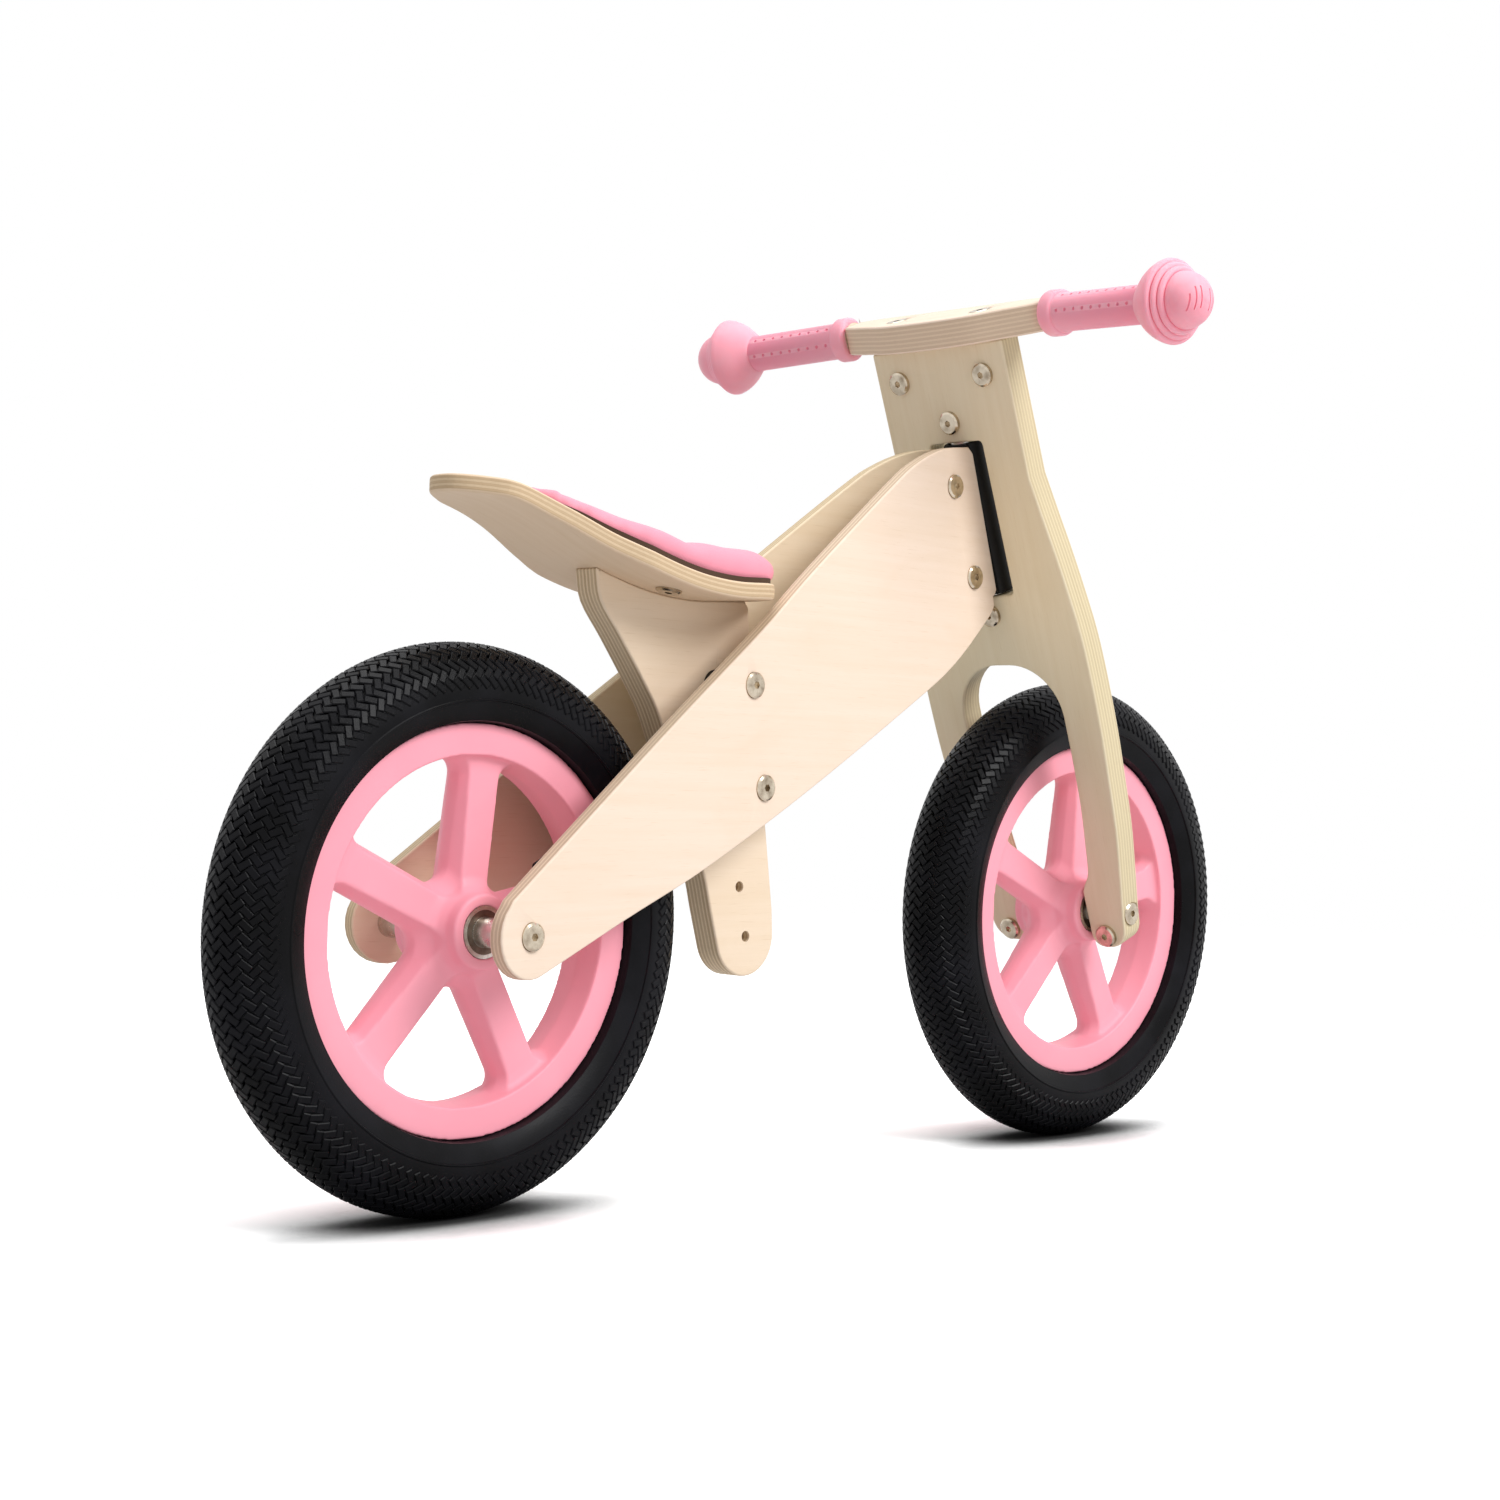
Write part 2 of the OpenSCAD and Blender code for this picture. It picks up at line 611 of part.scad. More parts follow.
// Handlebar board from above: x ahead, y left; its ends are cut square to the swept arms
module bar_outline() {
  end_x = arm_ahead - collar_start * sin(bar_sweep);
  end_y = arm_start + collar_start - 1.6;
  half_w = bar_end_d / 2;
  rear = spline([
    [-bar_rear, 0], [-bar_rear + 0.6, 18], [-bar_rear + 3.4, 36], [-bar_rear + 10, 54],
    [end_x - half_w - 5, 70], [end_x - half_w, end_y]], 4);
  front = spline([
    [bar_front, 0], [bar_front, 30], [bar_front + 0.8, 55], [end_x + half_w + 2.2, 70],
    [end_x + half_w, end_y]], 4);
  half = concat([for (i = [1 : len(rear) - 1]) rear[i]], reversed(front));
  polygon(concat(half, flipped([for (i = [0 : len(half) - 2]) half[i]]), [rear[0]]));
}
// The swept arm's frame: z outwards along the grip
module at_arm(side) {
  at_fork() translate([arm_ahead, side * arm_start, bar_mid_t])
    rotate([-side * 90, 0, side * bar_sweep]) children();
}
module handlebar_board() {
  arm_base = collar_start - 9;
  color(BIRCH) difference() {
    union() {
      at_fork() translate([0, 0, fork_top]) linear_extrude(board_t) bar_outline();
      for (side = [-1, 1]) at_arm(side) translate([0, 0, arm_base])
        cylinder(d = bar_end_d, h = bar_end_l - arm_base);
    }
    for (side = [-1, 1]) at_fork() translate([0, side * bar_bolt_y, fork_top]) {
      translate([0, 0, -cut]) cylinder(d = bolt_d + 2 * hole_gap, h = board_t + 2 * cut);
      translate([0, 0, board_t - bar_head_sink]) cylinder(d = head_d + 0.6, h = 20);
    }
  }
}
module handlebar_bolts() {
  color(NICKEL) at_fork() for (side = [-1, 1])
    translate([0, side * bar_bolt_y, fork_top + board_t - bar_head_sink])
      bolt(fork_top + board_t - bar_head_sink - cross_nut_t + 8);
}
// Barrel nuts across the fork board, threaded crosswise for the handlebar bolts
module handlebar_cross_nuts() {
  color(NICKEL) at_fork() for (side = [-1, 1])
    translate([0, side * bar_bolt_y, cross_nut_t]) difference() {
      union() {
        translate([-fork_half_t, 0, 0]) facing_rear() head();
        translate([-fork_half_t - 0.1, 0, 0]) facing_front() cylinder(d = cross_nut_d, h = board_t - 1);
      }
      cylinder(d = bolt_d + 2 * hole_gap, h = 2 * cross_nut_d, center = true);
    }
}
// Rubber grip: collar, tube, flared neck and a stepped round safety cap
module grip(side) {
  bore = bar_end_d / 2 + grip_wall_gap;
  neck = spline([
    [grip_r, cap_at - neck_l], [grip_r + 1.6, cap_at - neck_l + 3.5], [grip_r + 6, cap_at - 8],
    [cap_r - 2, cap_at - 2.6], [cap_r, cap_at]], 4);
  dome = spline([
    [cap_r - 5.8, cap_at + 10], [cap_r - 10, cap_at + 17], [cap_r - 16.5, cap_at + 24], [0, grip_end]], 5);
  color(PINK) at_arm(side) rotate_extrude() polygon(concat(
    [[bore, collar_start], [collar_r - 1.5, collar_start]],
    arc([collar_r - 2.5, collar_start + 2.5], 2.5, -60, 0, 3),
    arc([collar_r - 2.5, collar_start + collar_l - 2.5], 2.5, 0, 70, 3),
    neck,
    [[cap_r - 1, cap_at + 2.6], [cap_r - 2, cap_at + 3], [cap_r - 3, cap_at + 5.6],
     [cap_r - 4, cap_at + 6], [cap_r - 5, cap_at + 8.6]],
    dome,
    [[0, bar_end_l + 1], [bore, bar_end_l + 1]]));
}
module left_grip() { grip(1); }
module right_grip() { grip(-1); }

// ---- wheels ----

// A wheel lies in the side view with its axle along z, through its middle
module at_rear_wheel() { side_view() children(); }
module at_front_wheel() { side_view() translate([wheelbase, 0, 0]) children(); }

module window() {
  half_step = 180 / spokes;
  out_f = 8;
  in_f = 12;
  r = rim_in_r + 0.2;
  out_a = half_step - asin((spoke_half_w + out_f) / (r - out_f));
  corner = arc((r - out_f) * [cos(out_a), sin(out_a)], out_f, out_a, half_step + 90, 8);
  rim_side = arc([0, 0], r, 0, out_a, 6);
  hub_side = arc([(spoke_half_w + in_f) / sin(half_step), 0], in_f, half_step + 90, 180, 8);
  half = concat(rim_side, [for (i = [1 : 8]) corner[i]], hub_side);
  polygon(concat(half, flipped([for (i = [1 : len(half) - 2]) half[i]])));
}
module rim(valve_angle) {
  web_out = 9;
  web_in = 13;
  color(PINK) difference() {
    rotate_extrude($fn = 128) {
      // channel for the tyre
      polygon([
        [rim_in_r, -rim_half_w], [rim_r, -rim_half_w], [rim_r, -rim_half_w + rim_wall],
        [rim_in_r + rim_wall, -rim_half_w + rim_wall], [rim_in_r + rim_wall, rim_half_w - rim_wall],
        [rim_r, rim_half_w - rim_wall], [rim_r, rim_half_w], [rim_in_r, rim_half_w]]);
      // web and hub
      polygon([
        [12, -hub_half], [hub_r - 0.8, -hub_half], [hub_r, -hub_half + 0.8], [hub_r + 0.6, -18],
        [hub_r + 4, -web_in - 1], [hub_r + 8, -web_in], [rim_in_r + 1, -web_out],
        [rim_in_r + 1, web_out], [hub_r + 8, web_in], [hub_r + 4, web_in + 1],
        [hub_r + 0.6, 18], [hub_r, hub_half - 0.8], [hub_r - 0.8, hub_half], [12, hub_half]]);
    }
    for (k = [0 : spokes - 1]) rotate(spoke_angle + (k + 0.5) * 360 / spokes)
      linear_extrude(3 * hub_half, center = true) window();
    for (side = [0, 1]) mirror([0, 0, side])
      translate([0, 0, bearing_face - bearing_w]) cylinder(r = bearing_out_r + touch, h = 20);
    rotate(valve_angle) facing_front() cylinder(d = valve_d + 0.4, h = 2 * rim_r);
  }
}
function oval(a, wall) = [tyre_c + (tyre_half_h - wall) * sin(a), (tyre_half_w - wall) * cos(a)];
module tyre() {
  lip = rim_half_w - rim_wall - touch;
  in_a = foot_a - 4;
  outside = [for (i = [0 : 24]) oval(-foot_a + (180 + 2 * foot_a) * i / 24, 0)];
  inside = [for (i = [0 : 24]) oval(-in_a + (180 + 2 * in_a) * i / 24, tyre_wall)];
  foot = rim_in_r + rim_wall + 1;
  bead_in = lip - bead_w;
  color(RUBBER) rotate_extrude() polygon(concat(
    [[rim_r + 0.3, rim_half_w], [rim_r + 0.3, lip], [foot, lip], [foot, bead_in],
     [rim_r, bead_in], [rim_r + 3.2, bead_in + 4]],
    inside,
    [[rim_r + 3.2, -bead_in - 4], [rim_r, -bead_in],
     [foot, -bead_in], [foot, -lip], [rim_r + 0.3, -lip], [rim_r + 0.3, -rim_half_w]],
    reversed(outside)));
}
module inner_tube(valve_angle) {
  color(BLACK) difference() {
    rotate_extrude($fn = 96) translate([tube_c, 0]) difference() {
      circle(r = tube_r);
      circle(r = tube_r - tube_wall);
    }
    rotate(valve_angle) facing_front() cylinder(d = valve_d + 2 * hole_gap, h = tube_c);
  }
}
module valve(valve_angle) {
  stem_end = tube_c - tube_r + tube_wall;
  color("#b9975b") rotate(valve_angle) facing_front() {
    translate([0, 0, stem_start]) cylinder(d = valve_d, h = stem_end - stem_start);
    translate([0, 0, stem_start - 7]) cylinder(d = valve_tip_d, h = 7.1);
  }
}
module valve_cap(valve_angle) {
  color(BLACK) rotate(valve_angle) facing_front() difference() {
    translate([0, 0, stem_start - 10]) cylinder(d = valve_d + 1, h = 9.8);
    translate([0, 0, stem_start - 8]) cylinder(d = valve_tip_d + 2 * hole_gap, h = 20);
  }
}
// Repeats children in the bearing at each end of the hub, with z pointing outwards
module in_bearings() {
  for (side = [0, 1]) mirror([0, 0, side]) translate([0, 0, bearing_face - bearing_w / 2]) children();
}
module ring(r_out, r_in, w) {
  difference() {
    cylinder(r = r_out, h = w, center = true);
    cylinder(r = r_in, h = 2 * w, center = true);
  }
}
module race(r_out, r_in) {
  color(STEEL) in_bearings() difference() {
    ring(r_out, r_in, bearing_w);
    rotate_extrude() translate([pitch_r, 0]) circle(r = ball_r + run_gap, $fn = 32);
  }
}
module outer_rings() { race(bearing_out_r, race_out_r); }
module inner_rings() { race(race_in_r, bearing_in_r + touch); }
module bearing_balls() {
  color(NICKEL) in_bearings() for (k = [0 : balls - 1]) rotate(k * 360 / balls)
    translate([pitch_r, 0, 0]) sphere(r = ball_r, $fn = 24);
}
module bearing_seals() {
  color(BLACK) in_bearings() for (end = [-1, 1]) translate([0, 0, end * (bearing_w / 2 - 0.6)])
    ring(race_out_r - touch, race_in_r + 0.15, 0.8);
}
// Tube between the two inner rings, inside the hub
module hub_sleeve() {
  color(STEEL) ring(spacer_r, axle_d / 2 + hole_gap, 2 * (bearing_face - bearing_w - touch));
}
// Flanged spacer: a collar outside the hub and a spigot through the bearing
module axle_spacer(length) {
  translate([0, 0, bearing_face]) difference() {
    union() {
      translate([0, 0, touch]) cylinder(r = spacer_r, h = length);
      translate([0, 0, touch - bearing_w]) cylinder(r = bearing_in_r, h = bearing_w);
    }
    translate([0, 0, -bearing_w - cut])
      cylinder(d = axle_d + 2 * hole_gap, h = length + bearing_w + 2 * cut);
  }
}

module rear_axle_bolt() {
  color(NICKEL) at_spot([0, 0], -seat_y(0)) facing_right() bolt(2 * seat_y(0) - 2, axle_d);
}
module rear_axle_nut() {
  color(NICKEL) at_spot([0, 0], seat_y(0)) facing_left()
    sleeve_nut(in_panel(axle_sleeve_d), axle_sleeve_d, axle_d + 2 * hole_gap);
}
module rear_axle_spacers() {
  color(STEEL) difference() {
    at_rear_wheel() for (side = [0, 1]) mirror([0, 0, side]) axle_spacer(rear_half - bearing_face);
    for (side = [0, 1]) mirror([0, side, 0]) beyond_inner_face();
  }
}
module rear_hub_sleeve() { at_rear_wheel() hub_sleeve(); }
module rear_inner_rings() { at_rear_wheel() inner_rings(); }
module rear_rim() { at_rear_wheel() rim(rear_valve_angle); }
module rear_tyre() { at_rear_wheel() tyre(); }
module rear_inner_tube() { at_rear_wheel() inner_tube(rear_valve_angle); }
module rear_valve() { at_rear_wheel() valve(rear_valve_angle); }
module rear_valve_cap() { at_rear_wheel() valve_cap(rear_valve_angle); }
module rear_outer_rings() { at_rear_wheel() outer_rings(); }
module rear_bearing_balls() { at_rear_wheel() bearing_balls(); }
module rear_bearing_seals() { at_rear_wheel() bearing_seals(); }

module front_axle_bolt() {
  color(NICKEL) at_fork() translate([0, -leg_axle_out, 0]) facing_right() bolt(2 * leg_axle_out - 2, axle_d);
}
module front_axle_nut() {
  color(NICKEL) at_fork() translate([0, leg_axle_out, 0]) facing_left()
    sleeve_nut(20, axle_sleeve_d, axle_d + 2 * hole_gap);
}
module front_axle_spacers() {
  color(STEEL) at_front_wheel() for (side = [0, 1]) mirror([0, 0, side])
    axle_spacer(leg_in - bearing_face - 2 * touch);
}
module front_hub_sleeve() { at_front_wheel() hub_sleeve(); }
module front_inner_rings() { at_front_wheel() inner_rings(); }
module front_rim() { at_front_wheel() rim(front_valve_angle); }
module front_tyre() { at_front_wheel() tyre(); }
module front_inner_tube() { at_front_wheel() inner_tube(front_valve_angle); }
module front_valve() { at_front_wheel() valve(front_valve_angle); }
module front_valve_cap() { at_front_wheel() valve_cap(front_valve_angle); }
module front_outer_rings() { at_front_wheel() outer_rings(); }
module front_bearing_balls() { at_front_wheel() bearing_balls(); }
module front_bearing_seals() { at_front_wheel() bearing_seals(); }

left_side_panel();
right_side_panel();
seat_post();
post_spacers();
post_bolts();
post_nuts();
seat_board();
pad_base();
seat_pad();
pad_bolts();
pad_nuts();
seat_screws();
steering_block();
nose_bolts();
nose_nuts();
steering_rod();
thrust_washers();
rod_lock_bolts();
rod_lock_nuts();
fork_board();
leg_bolts();
leg_nuts();
handlebar_board();
handlebar_bolts();
handlebar_cross_nuts();
left_grip();
right_grip();
rear_axle_bolt();
rear_axle_nut();
rear_axle_spacers();
rear_hub_sleeve();
rear_inner_rings();
rear_rim();
rear_tyre();
rear_inner_tube();
rear_valve();
rear_valve_cap();
rear_outer_rings();
rear_bearing_balls();
rear_bearing_seals();
front_axle_bolt();
front_axle_nut();
front_axle_spacers();
front_hub_sleeve();
front_inner_rings();
front_rim();
front_tyre();
front_inner_tube();
front_valve();
front_valve_cap();
front_outer_rings();
front_bearing_balls();
front_bearing_seals();
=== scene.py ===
import bpy
import bmesh
import math
from math import sin, cos, pi, radians
from mathutils import Matrix, Vector


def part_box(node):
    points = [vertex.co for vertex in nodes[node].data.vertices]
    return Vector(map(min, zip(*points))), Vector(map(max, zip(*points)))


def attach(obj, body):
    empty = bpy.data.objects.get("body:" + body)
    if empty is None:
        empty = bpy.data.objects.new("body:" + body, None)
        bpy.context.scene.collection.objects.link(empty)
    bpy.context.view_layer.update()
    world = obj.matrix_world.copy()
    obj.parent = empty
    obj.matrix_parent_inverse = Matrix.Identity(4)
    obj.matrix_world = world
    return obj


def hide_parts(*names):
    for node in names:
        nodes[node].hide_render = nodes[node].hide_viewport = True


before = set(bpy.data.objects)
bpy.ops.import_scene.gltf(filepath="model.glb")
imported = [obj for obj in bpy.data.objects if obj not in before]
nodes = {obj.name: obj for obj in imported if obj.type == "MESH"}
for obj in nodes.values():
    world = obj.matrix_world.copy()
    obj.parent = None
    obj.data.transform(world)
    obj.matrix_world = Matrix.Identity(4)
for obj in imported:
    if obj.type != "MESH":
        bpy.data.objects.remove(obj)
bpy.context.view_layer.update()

print("frame loaded:", len(nodes), "nodes")


# the bike's own sizes, in metres
bike = {
    "rake": radians(21.2),        # how far the fork leans back
    "converge": radians(7),       # each side panel to the middle plane
    "rearHalf": 0.0635,           # outer face of a side panel to the middle plane, at the rear axle
    "boardT": 0.0186,             # fork, post and handlebar boards
    "panelT": 0.009,              # side panels
    "seatT": 0.0095,              # bent seat board
    "forkTop": 0.3915,            # top of the fork board above the axle, along the fork
    "armStart": 0.060,            # where the handlebar's swept arms begin
    "armAhead": 0.0125,           # and how far ahead of the fork's middle plane
    "barSweep": radians(8),       # how far the arms lean back
}


def middle(node):
    low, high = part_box(node)
    return (low + high) / 2


def turned(angle, axis):
    return Matrix.Rotation(angle, 4, axis)


rearAxle = middle("rear_hub_sleeve")
frontAxle = middle("front_hub_sleeve")
wheelR = rearAxle.z

# fork: x ahead of its middle plane, y left, z up along the board from the axle
forkFrame = Matrix.Translation(frontAxle) @ turned(-bike["rake"], "Y")
# wheels: x ahead, y up, z along the axle to the right
rearHub = Matrix.Translation(rearAxle) @ turned(pi / 2, "X")
frontHub = Matrix.Translation(frontAxle) @ turned(pi / 2, "X")


# handlebar arm: z outwards along the arm
def armFrame(side):
    height = bike["forkTop"] + bike["boardT"] / 2
    spot = Matrix.Translation((bike["armAhead"], side * bike["armStart"], height))
    return forkFrame @ spot @ turned(side * bike["barSweep"], "Z") @ turned(-side * pi / 2, "X")


# sRGB hex to linear colour, for the shaders
def hexColour(code):
    def linear(part):
        c = int(part, 16) / 255
        return c / 12.92 if c <= 0.04045 else ((c + 0.055) / 1.055) ** 2.4
    return (linear(code[1:3]), linear(code[3:5]), linear(code[5:7]), 1.0)


def newMaterial(name):
    mat = bpy.data.materials.new(name)
    mat.use_nodes = True
    tree = mat.node_tree
    return mat, tree, tree.nodes["Principled BSDF"]


# adds a node, sets it, feeds its inputs with links or values, and gives back one output
def addNode(tree, kind, links=None, out=0, **settings):
    node = tree.nodes.new("ShaderNode" + kind)
    for key, value in settings.items():
        setattr(node, key, value)
    for socket, source in (links or {}).items():
        if isinstance(source, bpy.types.NodeSocket):
            tree.links.new(source, node.inputs[socket])
        else:
            node.inputs[socket].default_value = source
    return node.outputs[out]


def link(name, mesh):
    piece = bpy.data.objects.new(name, mesh)
    bpy.context.scene.collection.objects.link(piece)
    return piece


def finishMesh(name, bm, material, smoothAngle=35):
    bmesh.ops.recalc_face_normals(bm, faces=bm.faces)
    mesh = bpy.data.meshes.new(name)
    bm.to_mesh(mesh)
    bm.free()
    mesh.polygons.foreach_set("use_smooth", [True] * len(mesh.polygons))
    mesh.set_sharp_from_angle(angle=radians(smoothAngle))
    mesh.materials.append(material)
    return link(name, mesh)


# a CAD node's triangles joined up, to be shaped further
def cadCopy(node):
    bm = bmesh.new()
    bm.from_mesh(nodes[node].data)
    bmesh.ops.remove_doubles(bm, verts=bm.verts, dist=2e-6)
    return bm


# a closed outline of (radius, height) turned about z
def turnedBody(bm, outline, steps):
    verts = [bm.verts.new((r, 0, z)) for r, z in outline]
    pairs = zip(verts, verts[1:] + verts[:1])      # an edge along the axis would turn into nothing
    edges = [bm.edges.new(pair) for pair in pairs if pair[0].co.x or pair[1].co.x]
    bmesh.ops.spin(bm, geom=verts + edges, cent=(0, 0, 0), axis=(0, 0, 1), angle=2 * pi,
                   steps=steps, use_merge=True)
    bmesh.ops.remove_doubles(bm, verts=bm.verts, dist=1e-6)


# works an object's modifiers into its mesh
def settle(piece):
    graph = bpy.context.evaluated_depsgraph_get()
    mesh = bpy.data.meshes.new_from_object(piece.evaluated_get(graph))
    spent = piece.data
    piece.modifiers.clear()
    piece.data = mesh
    bpy.data.meshes.remove(spent)


# a smooth curve through the points, n steps to each span
def curvePoints(points, n):
    ends = [2 * points[0] - points[1]] + list(points) + [2 * points[-1] - points[-2]]
    out = []
    for a, b, c, d in zip(ends, ends[1:], ends[2:], ends[3:]):
        for k in range(n):
            t = k / n
            out.append(0.5 * (2 * b + (c - a) * t + (2 * a - 5 * b + 4 * c - d) * t * t
                              + (3 * b - a - 3 * c + d) * t ** 3))
    return out + [points[-1]]


# moves one bmesh's faces into another
def joinInto(whole, part):
    spare = bpy.data.meshes.new("spare")
    part.to_mesh(spare)
    part.free()
    whole.from_mesh(spare)
    bpy.data.meshes.remove(spare)


def cutAway(piece, cutters):
    tool = finishMesh("cutters", cutters, piece.data.materials[0])
    cut = piece.modifiers.new("cut", "BOOLEAN")
    cut.operation, cut.solver, cut.object = "DIFFERENCE", "EXACT", tool
    settle(piece)
    bpy.data.objects.remove(tool)


def paint(material, *names):
    for name in names:
        slots = nodes[name].data.materials
        slots.clear()
        slots.append(material)


ply = {
    "face": "#ecd8c6",       # rotary-cut birch face under clear matt lacquer
    "faceDeep": "#e3ccb4",
    "fleck": "#d2b89a",
    "longPly": "#e1cdb4",    # inner plies cut along their grain
    "endPly": "#b29578",     # inner plies cut across it: darker and open
    "glue": "#816952",
}


# birch plywood, peeled and lacquered: nearly plain pale faces with faint long streaks, striped cut edges
def birchPly(name, board, thickness, plies, contrast, tone):
    mat, tree, shader = newMaterial(name)
    coords = addNode(tree, "TexCoord").node
    if board is None:      # a bent board: its own map holds the length and the depth
        bent = addNode(tree, "SeparateXYZ", {0: coords.outputs["UV"]}).node.outputs
        across = addNode(tree, "SeparateXYZ", {0: coords.outputs["Object"]}, 1)
        along, depth = bent[0], bent[1]
    else:
        axes = []
        for k in range(3):      # along the grain, across it, and into the board
            axis = board.to_3x3().col[k]
            measure = addNode(tree, "VectorMath", {0: coords.outputs["Object"], 1: axis}, "Value",
                              operation="DOT_PRODUCT")
            axes.append(addNode(tree, "Math", {0: measure, 1: axis.dot(board.to_translation())},
                                operation="SUBTRACT"))
        along, across, depth = axes
    place = addNode(tree, "CombineXYZ", {0: along, 1: across, 2: depth})
    streakMap = addNode(tree, "Mapping", {0: place, "Scale": (5, 190, 40)})      # streaks about 5 mm wide
    streak = addNode(tree, "TexNoise", {0: streakMap, "Scale": 1.0, "Detail": 4.0, "Roughness": 0.55})
    cloudMap = addNode(tree, "Mapping", {0: place, "Scale": (9, 24, 9)})         # patches about 40 mm wide
    cloud = addNode(tree, "TexNoise", {0: cloudMap, "Scale": 1.0, "Detail": 3.0, "Distortion": 1.2})
    poreMap = addNode(tree, "Mapping", {0: place, "Scale": (60, 1300, 300)})     # pores about 0.8 mm wide
    pore = addNode(tree, "TexNoise", {0: poreMap, "Scale": 1.0, "Detail": 2.0})
    streaky = addNode(tree, "MapRange", {0: streak, 1: 0.35, 2: 0.75, 3: 0.0, 4: 0.5})
    patchy = addNode(tree, "MapRange", {0: cloud, 1: 0.5, 2: 0.8, 3: 0.0, 4: 0.45})
    porous = addNode(tree, "MapRange", {0: pore, 1: 0.62, 2: 0.76, 3: 0.0, 4: 0.35})
    face = addNode(tree, "Mix", {0: streaky, 6: hexColour(ply["face"]), 7: hexColour(ply["faceDeep"])}, 2,
                   data_type="RGBA")
    face = addNode(tree, "Mix", {0: patchy, 6: face, 7: hexColour(ply["faceDeep"])}, 2, data_type="RGBA")
    face = addNode(tree, "Mix", {0: porous, 6: face, 7: hexColour(ply["fleck"])}, 2, data_type="RGBA")
    # cut edge: plies with the grain turned by turns, each with its own tone, and thin glue lines
    level = addNode(tree, "Math", {0: depth, 1: thickness / plies}, operation="DIVIDE")
    index = addNode(tree, "Math", {0: level}, operation="FLOOR")
    turnedPly = addNode(tree, "Math", {0: addNode(tree, "Math", {0: index, 1: 2.0}, operation="MODULO")},
                        operation="ABSOLUTE")
    inPly = addNode(tree, "Math", {0: level, 1: index}, operation="SUBTRACT")
    ownAlong = addNode(tree, "Math", {0: along, 1: 6.0}, operation="MULTIPLY")
    ownPly = addNode(tree, "Math", {0: index, 1: 3.7}, operation="MULTIPLY")
    ownMap = addNode(tree, "CombineXYZ", {0: ownAlong, 1: ownPly})
    own = addNode(tree, "TexNoise", {0: ownMap, "Scale": 1.0, "Detail": 2.0})
    fibreMap = addNode(tree, "Mapping", {0: place, "Scale": (500, 500, 1500)})     # cut fibres about 1 mm
    fibre = addNode(tree, "TexNoise", {0: fibreMap, "Scale": 1.0, "Detail": 2.0})
    # painted light: the plies' contrast is lower on boards whose cut edges are brightly lit, higher where
    # they lie in shade
    dark = addNode(tree, "MapRange", {0: own, 1: 0.3, 2: 0.7, 3: 0.55 * contrast, 4: contrast})
    dark = addNode(tree, "Math", {0: dark, 1: turnedPly}, operation="MULTIPLY")
    rough = addNode(tree, "MapRange", {0: fibre, 1: 0.45, 2: 0.75, 3: 0.0, 4: 0.3 * contrast})
    toGlue = addNode(tree, "Math", {0: inPly, 1: 0.5}, operation="PINGPONG")
    line = addNode(tree, "MapRange", {0: toGlue, 1: 0.0, 2: 0.1, 3: 0.5 * contrast, 4: 0.0})
    inner = addNode(tree, "Mix", {0: dark, 6: hexColour(ply["longPly"]), 7: hexColour(ply["endPly"])}, 2,
                    data_type="RGBA")
    inner = addNode(tree, "Mix", {0: rough, 6: inner, 7: hexColour(ply["endPly"])}, 2, data_type="RGBA")
    inner = addNode(tree, "Mix", {0: line, 6: inner, 7: hexColour(ply["glue"])}, 2, data_type="RGBA")
    # the two outer plies are the face veneers
    fromMiddle = addNode(tree, "Math", {0: level, 1: plies / 2}, operation="SUBTRACT")
    fromMiddle = addNode(tree, "Math", {0: fromMiddle}, operation="ABSOLUTE")
    outer = addNode(tree, "Math", {0: fromMiddle, 1: plies / 2 - 0.82}, operation="GREATER_THAN")
    colour = addNode(tree, "Mix", {0: outer, 6: inner, 7: face}, 2, data_type="RGBA")
    # painted light and shade: each board gets its own tint, set by how it is lit, darker for the shaded
    # seat and less pink where pink light bounces onto it
    colour = addNode(tree, "Mix", {0: 1.0, 6: colour, 7: hexColour(tone)}, 2, data_type="RGBA",
                     blend_type="MULTIPLY")
    tree.links.new(colour, shader.inputs["Base Color"])
    tree.links.new(addNode(tree, "MapRange", {0: pore, 1: 0.3, 2: 0.75, 3: 0.45, 4: 0.62}),
                   shader.inputs["Roughness"])
    shader.inputs["IOR"].default_value = 1.47
    shader.inputs["Specular IOR Level"].default_value = 0.2
    relief = addNode(tree, "Bump", {"Height": pore, "Strength": 0.2, "Distance": 0.0002})
    tree.links.new(relief, shader.inputs["Normal"])
    return mat


# moulded polypropylene: one even colour with a soft broad sheen and the fine texture of the mould
def mouldedPlastic(name, colour, shade, rough):
    mat, tree, shader = newMaterial(name)
    place = addNode(tree, "TexCoord", out="Object")
    # flow marks about 45 mm across, and 0.8 mm mould grain
    flow = addNode(tree, "TexNoise", {0: place, "Scale": 22.0, "Detail": 3.0, "Distortion": 0.6})
    grain = addNode(tree, "TexNoise", {0: place, "Scale": 1300.0, "Detail": 2.0})
    tinge = addNode(tree, "MapRange", {0: flow, 1: 0.35, 2: 0.75, 3: 0.0, 4: 0.5})
    tree.links.new(addNode(tree, "Mix", {0: tinge, 6: hexColour(colour), 7: hexColour(shade)}, 2,
                           data_type="RGBA"), shader.inputs["Base Color"])
    tree.links.new(addNode(tree, "MapRange", {0: flow, 1: 0.3, 2: 0.7, 3: rough - 0.03, 4: rough + 0.06}),
                   shader.inputs["Roughness"])
    shader.inputs["IOR"].default_value = 1.49
    shader.inputs["Specular IOR Level"].default_value = 0.3
    relief = addNode(tree, "Bump", {"Height": grain, "Strength": 0.12, "Distance": 0.00015})
    tree.links.new(relief, shader.inputs["Normal"])
    return mat
